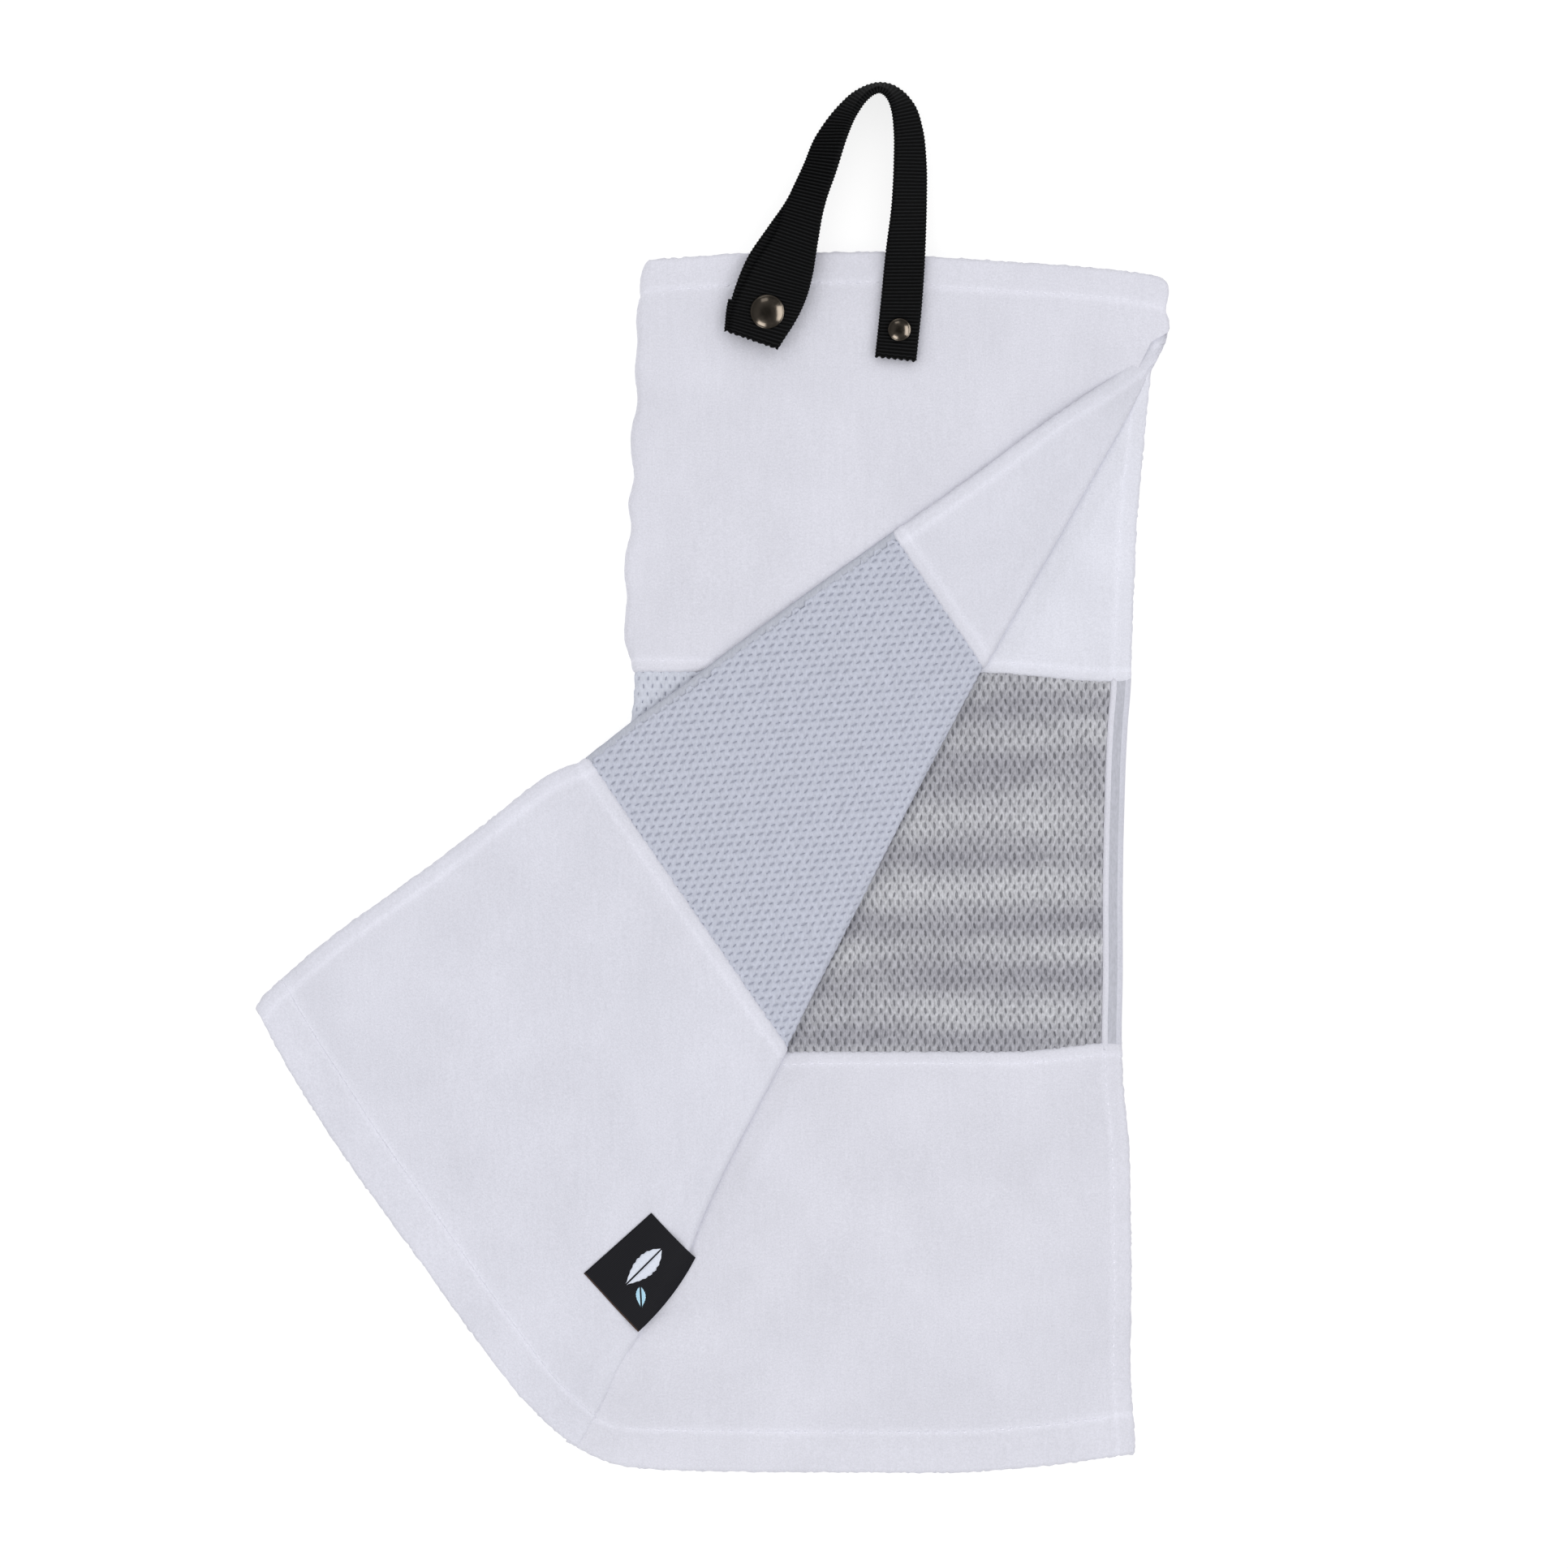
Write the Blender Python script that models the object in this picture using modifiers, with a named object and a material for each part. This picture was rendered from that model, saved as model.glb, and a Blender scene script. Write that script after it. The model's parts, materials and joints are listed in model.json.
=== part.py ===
"""Golf towel, folded once lengthwise, with the lower part of its front leaf turned back over itself.

Lengths are in millimetres until a mesh or curve is made, and MM turns them into metres.
X runs across the towel, +Y points to the carrying strap, +Z is up, and the towel lies on z = 0.
"""

import math

import bmesh
import bpy
from mathutils import Vector

MM = 0.001

# Cloth
TERRY = 2.6
MESH = 1.6
HEM = 3.0
LEAF_PITCH = 3.4
MESH_LIFT = (TERRY - MESH) / 2
BACK, FRONT, FLAP = 0.0, LEAF_PITCH, 2 * LEAF_PITCH

# Outline of the folded towel
CREST_X = 48.0
TOP_Y = 180.0
BOTTOM_Y = -238.0
END_CURVATURE = 0.00077
FOLD_EDGE = ((176.0, -24.0), (60.0, -29.5), (-92.0, -33.0), (-231.0, -41.0))
TOP_RIGHT_X = 156.5
BACK_EDGE = ((171.0, TOP_RIGHT_X), (137.0, 150.0), (50.0, 144.5), (-92.0, 141.0), (-231.0, 145.0))
FOLD_RADIUS = LEAF_PITCH / 2
WRAP_ANGLES = (25, 50, 75, 105, 130, 155, 176)
UPPER_ROWS = 12

# Hems, seams and thread
TOP_HEM = 11.0
BOTTOM_HEM = 14.0
SIDE_HEM = 6.5
UPPER_SEAM_Y = 36.5
LOWER_SEAM_Y = -92.0
THREAD_RADIUS = 0.3
GROOVE = 2 * THREAD_RADIUS + 0.8
TOP_ROW_END_X = 148.5
BOTTOM_ROW_START_Y = -218.0

# Turn line of the front leaf, and that leaf's free edge before it was turned
TURN_TOP = Vector((157.0, 154.0))
TURN_BOTTOM = Vector((-43.0, -225.0))
TURN_CLEARANCE = 1.0
TURN_END_Y = -205.0
SIDE_HEM_TIP = (-0.6, 1.0)
SIDE_HEM_DROP = 9.6
FLAP_CLOTH_LOW_Y = -216.0
FLAP_HEM_LOW_Y = -222.0
FRONT_CORNER = Vector((141.8, -236.6))
FRONT_BOTTOM_LEFT = Vector((-31.6, -231.4))

# Woven label
LABEL_SIZE = (31.4, 24.5)
LABEL_CENTRE = (-28.9, -165.2)
LABEL_ANGLE = math.radians(46)
LABEL_THICKNESS = 0.6

# Webbing strap: 25.4 wide, folded lengthwise along the loop
PLY = 1.2
FOLDED = 2.8
PLY_GAP = 0.3
UNDER_PLY_WIDTH = 23.0
SNAP_END_WIDTH = 18.5
SNAP_END_TAPER = 0.5
SNAP = (19.2, 159.3)
RIVET = (64.3, 153.4)
SNAP_CAP_RADIUS = 5.9
SNAP_CAP_RIM, SNAP_CAP_HEIGHT = 0.5, 2.2
RIVET_CAP_RADIUS = 4.0
RIVET_CAP_RIM, RIVET_CAP_HEIGHT = 0.4, 1.8
SOCKET_BORE, SOCKET_RADIUS, SOCKET_BEVEL = 2.5, 5.5, 0.3
STUD_RADIUS, STUD_NECK, STUD_BEVEL = 2.1, 1.8, 0.5
POST_RADIUS = 1.6
BACK_FLANGE = (0.2, 0.9)
SNAP_FLANGE_RADIUS = 5.0
RIVET_FLANGE_RADIUS = 4.0
GAP = 0.3

FRONT_TOP = FRONT + TERRY
STUD_Z = FRONT_TOP + GAP
STUD_FLANGE = 0.7
STUD_HEIGHT = 2.2
SOCKET_Z = STUD_Z + STUD_FLANGE + GAP
SOCKET_HEIGHT = 1.6
UNDER_PLY_Z = SOCKET_Z + SOCKET_HEIGHT + GAP + PLY / 2
UPPER_PLY_Z = UNDER_PLY_Z + PLY + PLY_GAP
CAP_Z = UPPER_PLY_Z + PLY / 2 + GAP
RIVET_LEG_Z = FRONT + HEM + GAP + FOLDED / 2
RIVET_CAP_Z = RIVET_LEG_Z + FOLDED / 2 + GAP

# Loop stations: centre x, y, z, then width, thickness, and the tilt of the webbing's face in degrees
SNAP_LEG = (
    (18.2, 159.8, UPPER_PLY_Z, 23.6, PLY, 0),
    (20.6, 167.0, UPPER_PLY_Z - 0.2, 24.4, PLY, 0),
    (23.2, 174.0, UPPER_PLY_Z - 0.8, 23.4, 1.5, 0),
    (26.8, 181.4, 9.6, 20.4, 2.0, 4),
    (31.2, 194.8, 8.5, 14.0, FOLDED, 16),
    (37.0, 208.4, 7.8, 14.0, FOLDED, 48),
    (41.6, 219.8, 7.5, 14.0, FOLDED, 58),
    (47.1, 229.2, 7.3, 14.0, FOLDED, 74),
    (51.6, 233.6, 7.2, 14.0, FOLDED, 82),
    (57.2, 236.6, 7.2, 14.0, FOLDED, 88),
)
RIVET_LEG = (
    (57.9, 236.6, 7.2, 14.0, FOLDED, 88),
    (62.5, 234.3, 7.2, 14.0, FOLDED, 78),
    (65.5, 229.9, 7.2, 14.0, FOLDED, 70),
    (67.5, 222.0, 7.3, 14.0, FOLDED, 60),
    (68.0, 211.5, 7.5, 14.0, FOLDED, 50),
    (67.8, 199.0, 7.7, 14.0, FOLDED, 36),
    (67.0, 189.0, 7.9, 14.0, FOLDED, 16),
    (66.4, 180.0, RIVET_LEG_Z, 14.0, FOLDED, 0),
    (65.0, 162.5, RIVET_LEG_Z, 14.2, FOLDED, 0),
    (63.1, 143.6, RIVET_LEG_Z, 14.2, FOLDED, 0),
)
UNDER_PLY_LENGTH = 13.0
SNAP_END = Vector((14.9, 150.8))


def clear_scene():
    for obj in list(bpy.data.objects):
        bpy.data.objects.remove(obj, do_unlink=True)


def new_collection(name):
    collection = bpy.data.collections.new(name)
    bpy.context.scene.collection.children.link(collection)
    return collection


def material(name, colour, roughness, metallic=0.0):
    made = bpy.data.materials.new(name)
    made.use_nodes = True
    shader = made.node_tree.nodes["Principled BSDF"]
    shader.inputs["Base Color"].default_value = (*colour, 1.0)
    shader.inputs["Roughness"].default_value = roughness
    shader.inputs["Metallic"].default_value = metallic
    return made


def place(name, data, finish, parent=None, axis_point=None):
    """Links the object. A moving piece takes the joint's axis point as its origin."""
    obj = bpy.data.objects.new(name, data)
    data.materials.append(finish)
    PARTS.objects.link(obj)
    if axis_point is not None:
        obj.parent = parent
        offset = Vector(axis_point) * MM
        if obj.type == "MESH":
            for vertex in data.vertices:
                vertex.co -= offset
        else:
            obj.location = -offset
    return obj


# ---------------------------------------------------------------- outline of the cloth


def between(table, value):
    """Straight-line reading of a table whose first column falls."""
    for (high, at_high), (low, at_low) in zip(table, table[1:]):
        if value >= low or (low, at_low) == table[-1]:
            share = (value - low) / (high - low)
            return at_low + share * (at_high - at_low)


def top_edge(x):
    return TOP_Y - END_CURVATURE * (x - CREST_X) ** 2


def bottom_edge(x):
    return BOTTOM_Y + END_CURVATURE * (x - CREST_X) ** 2


def fold_centre(y):
    """X of the fold's centre line, inside the folded edge."""
    return between(FOLD_EDGE, y) + FOLD_RADIUS + HEM / 2


def back_edge(y):
    return between(BACK_EDGE, y)


def turn_line(y):
    share = (y - TURN_BOTTOM.y) / (TURN_TOP.y - TURN_BOTTOM.y)
    return TURN_BOTTOM.x + share * (TURN_TOP.x - TURN_BOTTOM.x)


def front_edge(y):
    """The front leaf's free edge, before the leaf was turned back."""
    share = (y - FRONT_CORNER.y) / (TURN_TOP.y - FRONT_CORNER.y)
    return FRONT_CORNER.x + share * (TURN_TOP.x - FRONT_CORNER.x)


def turn_crossing(inset):
    """The point where a line this far inside the free edge starts, clear of the turn line."""
    spread = (turn_line(0) - front_edge(0)) / (0 - TURN_TOP.y)
    y = TURN_TOP.y - (TURN_CLEARANCE + inset) / spread
    return front_edge(y) - inset, y


def front_bottom(x):
    slope = (FRONT_CORNER.y - FRONT_BOTTOM_LEFT.y) / (FRONT_CORNER.x - FRONT_BOTTOM_LEFT.x)
    return FRONT_BOTTOM_LEFT.y + slope * (x - FRONT_BOTTOM_LEFT.x)


def turned(point):
    """Mirror image of a front leaf point across the turn line."""
    along = (TURN_BOTTOM - TURN_TOP).normalized()
    step = Vector(point) - TURN_TOP
    foot = TURN_TOP + along * step.dot(along)
    return 2 * foot - Vector(point)


# ---------------------------------------------------------------- cloth solids


def leaf_panel(name, low, high, right, bottom_z, thickness, finish, wraps, columns=10, rows=6):
    """A panel from its right side to the fold, which it goes round too if it wraps.

    low, high and right are functions: the panel's lower and upper edge at x, its right edge at y.
    """
    axis_z = bottom_z + thickness / 2 + FOLD_RADIUS
    angles = [math.radians(angle) for angle in WRAP_ANGLES] if wraps else []
    stations = [(1 - column / columns, 0.0) for column in range(columns + 1)] + [(0.0, a) for a in angles]
    mesh = bmesh.new()

    def grid(offset):
        """One face of the cloth, at this distance outside its middle surface."""
        radius = FOLD_RADIUS + offset
        lines = []
        for share, angle in stations:
            line = []
            for row in range(rows + 1):
                x = CREST_X
                for _ in range(4):
                    y = low(x) + (high(x) - low(x)) * row / rows
                    left = fold_centre(y) + (0 if wraps else GAP)
                    x = left + share * (right(y) - left)
                point = Vector((x - radius * math.sin(angle), y, axis_z - radius * math.cos(angle)))
                line.append(mesh.verts.new(point * MM))
            lines.append(line)
        return lines

    outer, inner = grid(thickness / 2), grid(-thickness / 2)
    for lines in (outer, inner):
        for first, second in zip(lines, lines[1:]):
            for row in range(rows):
                mesh.faces.new((first[row], first[row + 1], second[row + 1], second[row]))
    for end in (0, -1):
        for row in range(rows):
            mesh.faces.new((outer[end][row], outer[end][row + 1], inner[end][row + 1], inner[end][row]))
        for at in range(len(stations) - 1):
            mesh.faces.new((outer[at][end], outer[at + 1][end], inner[at + 1][end], inner[at][end]))
    bmesh.ops.recalc_face_normals(mesh, faces=mesh.faces)
    data = bpy.data.meshes.new(name)
    mesh.to_mesh(data)
    mesh.free()
    return place(name, data, finish)


def plate(name, outline, bottom_z, thickness, finish, parent=None, axis_point=None):
    """A flat outline, filled and extruded."""
    data = bpy.data.curves.new(name, "CURVE")
    data.dimensions = "2D"
    data.fill_mode = "BOTH"
    data.extrude = thickness / 2 * MM
    spline = data.splines.new("POLY")
    spline.points.add(len(outline) - 1)
    for point, corner in zip(spline.points, outline):
        point.co = (corner[0] * MM, corner[1] * MM, 0, 1)
    spline.use_cyclic_u = True
    obj = place(name, data, finish, parent, axis_point)
    obj.location += Vector((0, 0, (bottom_z + thickness / 2) * MM))
    return obj


def thread(name, route, parent=None, axis_point=None):
    data = bpy.data.curves.new(name, "CURVE")
    data.dimensions = "3D"
    data.bevel_depth = THREAD_RADIUS * MM
    data.bevel_resolution = 1
    data.use_fill_caps = True
    spline = data.splines.new("POLY")
    spline.points.add(len(route) - 1)
    for point, place_mm in zip(spline.points, route):
        point.co = (*(Vector(place_mm) * MM), 1)
    return place(name, data, THREAD, parent, axis_point)


def folded_route(y_of_x, back_end, front_end, level, steps=5):
    """Thread points along the back leaf, round the fold and along the front leaf."""
    start = fold_centre(y_of_x(fold_centre(0)))
    y_fold = y_of_x(start)
    route = []
    for step in range(steps):
        x = back_end + (start - back_end) * step / steps
        route.append((x, y_of_x(x), level))
    for angle in range(0, 181, 30):
        turn = math.radians(angle)
        x = start - FOLD_RADIUS * math.sin(turn)
        route.append((x, y_fold, level + FOLD_RADIUS * (1 - math.cos(turn))))
    for step in range(1, steps + 1):
        x = start + (front_end - start) * step / steps
        route.append((x, y_of_x(x), level + LEAF_PITCH))
    return route


# ---------------------------------------------------------------- webbing and hardware


def webbing(name, sections, finish, parent=None, axis_point=None):
    """A loft through rectangular sections, each given as its four corners."""
    mesh = bmesh.new()
    rings = [[mesh.verts.new(Vector(corner) * MM) for corner in section] for section in sections]
    for first, second in zip(rings, rings[1:]):
        for corner in range(4):
            following = (corner + 1) % 4
            mesh.faces.new((first[corner], first[following], second[following], second[corner]))
    mesh.faces.new(rings[0])
    mesh.faces.new(reversed(rings[-1]))
    bmesh.ops.recalc_face_normals(mesh, faces=mesh.faces)
    data = bpy.data.meshes.new(name)
    mesh.to_mesh(data)
    mesh.free()
    return place(name, data, finish, parent, axis_point)


def section(centre, across, face, width, thickness):
    """Corners of a webbing section from its width direction and its face direction."""
    half_width, half_face = across * width / 2, face * thickness / 2
    return (
        centre - half_width - half_face,
        centre + half_width - half_face,
        centre + half_width + half_face,
        centre - half_width + half_face,
    )


def loop_sections(stations, top):
    """Sections along the loop: the outer edge tilts down, so the webbing stands on edge at the top.

    At the station with index top the leg meets the other one, and both run along X there.
    """
    sections = []
    centres = [Vector(station[:3]) for station in stations]
    for index, (x, y, z, width, thickness, tilt) in enumerate(stations):
        before, after = centres[max(index - 1, 0)], centres[min(index + 1, len(centres) - 1)]
        along = Vector((after.x - before.x, after.y - before.y, 0)).normalized()
        if index == top:
            along = Vector((1, 0, 0))
        outward = Vector((-along.y, along.x, 0))
        lean = math.radians(tilt)
        across = outward * math.cos(lean) + Vector((0, 0, -math.sin(lean)))
        face = outward * math.sin(lean) + Vector((0, 0, math.cos(lean)))
        sections.append(section(Vector((x, y, z)), across, face, width, thickness))
    return sections


def snap_end_sections():
    """The snap leg's end: an under ply, then the turn up into the main ply."""
    end = SNAP_LEG[0]
    toward_loop = (Vector(end[:2]) - SNAP_END).normalized().to_3d()
    outward = Vector((-toward_loop.y, toward_loop.x, 0))
    up = Vector((0, 0, 1))
    turn_radius = (UPPER_PLY_Z - UNDER_PLY_Z) / 2
    axis = SNAP_END.to_3d() + up * (UNDER_PLY_Z + turn_radius)
    under = axis - up * turn_radius + toward_loop * UNDER_PLY_LENGTH
    sections = [section(under, outward, -up, UNDER_PLY_WIDTH, PLY)]
    for angle in range(0, 181, 30):
        turn = math.radians(angle)
        spoke = -up * math.cos(turn) - toward_loop * math.sin(turn)
        width = SNAP_END_WIDTH + SNAP_END_TAPER * abs(math.cos(turn))
        sections.append(section(axis + spoke * turn_radius, outward, spoke, width, PLY))
    return sections


def turned_piece(name, profile, centre, finish, parent=None, axis_point=None):
    """A turned piece: the profile lists (radius, z) from the top down its outer side."""
    mesh = bmesh.new()
    points = [mesh.verts.new(Vector((radius, 0, z)) * MM) for radius, z in profile]
    for first, second in zip(points, points[1:]):
        mesh.edges.new((first, second))
    if profile[0][0] > 0 and profile[-1][0] > 0:
        mesh.edges.new((points[-1], points[0]))
    data = bpy.data.meshes.new(name)
    mesh.to_mesh(data)
    mesh.free()
    obj = bpy.data.objects.new(name, data)
    data.materials.append(finish)
    PARTS.objects.link(obj)
    obj.location = Vector((*centre, 0)) * MM
    if axis_point is not None:
        obj.parent = parent
        obj.location -= Vector(axis_point) * MM
    screw = obj.modifiers.new("Turn", "SCREW")
    screw.steps = 32
    screw.render_steps = 32
    screw.use_merge_vertices = True
    screw.merge_threshold = 0.00001
    screw.use_smooth_shade = True
    return obj


def dome(radius, base_z, rim, height, steps=6):
    """Profile of a domed cap: the crown down to the rim, then the flat underside."""
    sphere = (radius**2 + (height - rim) ** 2) / (2 * (height - rim))
    top_angle = math.asin(radius / sphere)
    centre_z = base_z + height - sphere
    crown = [
        (sphere * math.sin(top_angle * step / steps), centre_z + sphere * math.cos(top_angle * step / steps))
        for step in range(steps + 1)
    ]
    return crown + [(radius, base_z)]


def bore(name, targets, centre, radius, low, high):
    """Cuts a round hole, from z = low to z = high, through each target."""
    made = bmesh.new()
    bmesh.ops.create_cone(
        made, cap_ends=True, segments=24, radius1=radius * MM, radius2=radius * MM, depth=(high - low) * MM
    )
    data = bpy.data.meshes.new(name)
    made.to_mesh(data)
    made.free()
    cutter = bpy.data.objects.new(name, data)
    CUTTERS.objects.link(cutter)
    cutter.location = Vector((*centre, (low + high) / 2)) * MM
    cutter.hide_render = True
    cutter.display_type = "WIRE"
    for target in targets:
        cut = target.modifiers.new(name, "BOOLEAN")
        cut.operation = "DIFFERENCE"
        cut.object = cutter


# ---------------------------------------------------------------- sub-parts


def build_leaves():
    """Back and front leaf: upper terry, mesh band and lower terry. Returns the two upper panels."""
    upper_low = UPPER_SEAM_Y + GROOVE / 2
    band_high, band_low = UPPER_SEAM_Y - GROOVE / 2, LOWER_SEAM_Y + GROOVE / 2
    lower_high = LOWER_SEAM_Y - GROOVE / 2

    def under_top_hem(x):
        return top_edge(x) - TOP_HEM - GROOVE / 2

    def over_bottom_hem(x):
        return bottom_edge(x) + BOTTOM_HEM + GROOVE / 2

    def inside_side_hem(y):
        return back_edge(y) - SIDE_HEM - GROOVE / 2

    def inside_turn(y):
        return min(turn_line(y) - TURN_CLEARANCE, TURN_TOP.x - SIDE_HEM - GROOVE / 2)

    def over_turn_end(x):
        return TURN_END_Y

    def over_upper_seam(x):
        return upper_low

    def under_lower_seam(x):
        return lower_high

    back_upper = leaf_panel(
        "back_leaf_terry_upper",
        over_upper_seam,
        under_top_hem,
        inside_side_hem,
        BACK,
        TERRY,
        WHITE,
        True,
        rows=UPPER_ROWS,
    )
    front_upper = leaf_panel(
        "front_leaf_terry_upper",
        over_upper_seam,
        under_top_hem,
        inside_turn,
        FRONT,
        TERRY,
        WHITE,
        False,
        rows=UPPER_ROWS,
    )
    for leaf, level, right, wraps in (
        ("back", BACK, inside_side_hem, True),
        ("front", FRONT, inside_turn, False),
    ):
        leaf_panel(
            f"{leaf}_leaf_mesh",
            lambda x: band_low,
            lambda x: band_high,
            right,
            level + MESH_LIFT,
            MESH,
            GREY,
            wraps,
        )
    leaf_panel(
        "back_leaf_terry_lower", over_bottom_hem, under_lower_seam, inside_side_hem, BACK, TERRY, WHITE, True
    )
    leaf_panel(
        "front_leaf_terry_lower", over_turn_end, under_lower_seam, inside_turn, FRONT, TERRY, WHITE, False
    )
    return back_upper, front_upper


def build_hems():
    def top_hem_line(x):
        return top_edge(x) - TOP_HEM + GROOVE / 2

    def bottom_hem_line(x):
        return bottom_edge(x) + BOTTOM_HEM - GROOVE / 2

    for leaf, level, wraps in (("back", BACK, True), ("front", FRONT, False)):
        leaf_panel(
            f"top_hem_{leaf}", top_hem_line, top_edge, lambda y: TOP_RIGHT_X, level, HEM, WHITE, wraps, rows=1
        )
    leaf_panel("bottom_hem_back", bottom_edge, bottom_hem_line, back_edge, BACK, HEM, WHITE, False, rows=1)
    high = top_edge(BACK_EDGE[0][1]) - TOP_HEM - GROOVE / 2
    low = bottom_edge(BACK_EDGE[-1][1]) + BOTTOM_HEM + GROOVE / 2
    levels = [high] + [y for y, _ in BACK_EDGE if low < y < high] + [low]
    outer = [(back_edge(y), y) for y in levels]
    inner = [(x - SIDE_HEM + GROOVE / 2, y) for x, y in reversed(outer)]
    plate("side_hem_back", outer + inner, BACK, HEM, WHITE)
    inner_x = TURN_TOP.x - SIDE_HEM + GROOVE / 2
    corner = (TURN_TOP.x + SIDE_HEM_TIP[0], TURN_TOP.y + SIDE_HEM_TIP[1])
    outline = [(TOP_RIGHT_X, high), (inner_x, high), (inner_x, TURN_TOP.y - SIDE_HEM_DROP), corner]
    plate("side_hem_front", outline, FRONT, HEM, WHITE)


def build_towel_thread():
    top_row = folded_route(lambda x: top_edge(x) - TOP_HEM, TOP_ROW_END_X, TOP_ROW_END_X, HEM / 2)
    thread("top_hem_stitching", top_row)
    for name, y in (("seam_stitching_upper", UPPER_SEAM_Y), ("seam_stitching_lower", LOWER_SEAM_Y)):
        back_end = back_edge(y) - SIDE_HEM - GROOVE
        front_end = turn_line(y) - 2 * TURN_CLEARANCE
        thread(name, folded_route(lambda x, y=y: y, back_end, front_end, TERRY / 2, steps=1))
    high = top_edge(BACK_EDGE[0][1]) - TOP_HEM - 2 * GROOVE
    low = bottom_edge(BACK_EDGE[-1][1]) + BOTTOM_HEM
    levels = [high] + [y for y, _ in BACK_EDGE if low < y < high] + [low]
    side_row = [(back_edge(y) - SIDE_HEM, y, HEM / 2) for y in levels]
    thread("side_hem_stitching", side_row)
    left, right = fold_centre(BOTTOM_ROW_START_Y), side_row[-1][0] - GROOVE
    steps = 8
    row_x = [left + (right - left) * step / steps for step in range(steps + 1)]
    thread("bottom_hem_stitching", [(x, bottom_edge(x) + BOTTOM_HEM, HEM / 2) for x in row_x])


def build_flap(pivot, axis_point):
    """The part of the front leaf that is turned back, as the mirror image of its flat outline."""
    inset = SIDE_HEM + GROOVE / 2

    def hem_line(x, side):
        return front_bottom(x) + BOTTOM_HEM + side * GROOVE / 2

    def side_points(y):
        return [(turn_line(y) + TURN_CLEARANCE, y), (front_edge(y) - inset, y)]

    def cloth(name, outline, level, thickness, finish):
        plate(name, [turned(point) for point in outline], level, thickness, finish, pivot, axis_point)

    upper_low = UPPER_SEAM_Y + GROOVE / 2
    band_high, band_low = UPPER_SEAM_Y - GROOVE / 2, LOWER_SEAM_Y + GROOVE / 2
    inner_x = FRONT_CORNER.x - inset
    left_x = turn_line(FLAP_CLOTH_LOW_Y) + TURN_CLEARANCE
    cloth("flap_terry_upper", [turn_crossing(inset)] + side_points(upper_low)[::-1], FLAP, TERRY, WHITE)
    band = side_points(band_high) + side_points(band_low)[::-1]
    cloth("flap_mesh", band, FLAP + MESH_LIFT, MESH, GREY)
    lower = side_points(LOWER_SEAM_Y - GROOVE / 2)
    lower += [(inner_x, hem_line(inner_x, 1)), (left_x, hem_line(left_x, 1))]
    cloth("flap_terry_lower", lower, FLAP, TERRY, WHITE)

    hem_left = turn_line(FLAP_HEM_LOW_Y) + TURN_CLEARANCE
    bottom = [
        (hem_left, hem_line(hem_left, -1)),
        (FRONT_CORNER.x, hem_line(FRONT_CORNER.x, -1)),
        tuple(FRONT_CORNER),
        tuple(FRONT_BOTTOM_LEFT),
    ]
    cloth("flap_bottom_hem", bottom, FLAP, HEM, WHITE)

    low = hem_line(FRONT_CORNER.x, 1)
    hem_inset = SIDE_HEM - GROOVE / 2
    corner_x = front_edge(low)
    side = [turn_crossing(0), (corner_x, low), (corner_x - hem_inset, low), turn_crossing(hem_inset)]
    cloth("flap_side_hem", side, FLAP, HEM, WHITE)

    level = FLAP + HEM / 2

    def row(name, start, end):
        ends = [(*turned(start), level), (*turned(end), level)]
        thread(name, ends, pivot, axis_point)

    row("flap_side_stitching", turn_crossing(SIDE_HEM), (corner_x - SIDE_HEM, low))
    thread_right = FRONT_CORNER.x - SIDE_HEM - GROOVE
    row(
        "flap_bottom_stitching",
        (left_x + GROOVE, hem_line(left_x, 0)),
        (thread_right, hem_line(thread_right, 0)),
    )
    for name, y in (("flap_seam_stitching_upper", UPPER_SEAM_Y), ("flap_seam_stitching_lower", LOWER_SEAM_Y)):
        start = (turn_line(y) + 2 * TURN_CLEARANCE, y)
        end = (front_edge(y) - SIDE_HEM - GROOVE, y)
        row(name, start, end)


def build_label(pivot, axis_point):
    along = Vector((math.cos(LABEL_ANGLE), math.sin(LABEL_ANGLE)))
    across = Vector((-along.y, along.x))
    corners = []
    for side, end in ((-1, -1), (-1, 1), (1, 1), (1, -1)):
        corners.append(
            Vector(LABEL_CENTRE) + along * (end * LABEL_SIZE[0] / 2) + across * (side * LABEL_SIZE[1] / 2)
        )
    plate("woven_label", corners, FLAP + TERRY + GAP, LABEL_THICKNESS, LABEL, pivot, axis_point)


def build_strap(pivot, axis_point):
    sections = snap_end_sections() + loop_sections(SNAP_LEG, len(SNAP_LEG) - 1)
    snap_leg = webbing("strap_snap_leg", sections, INK, pivot, axis_point)
    rivet_leg = webbing("strap_rivet_leg", loop_sections(RIVET_LEG, 0), INK)
    return snap_leg, rivet_leg


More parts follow.
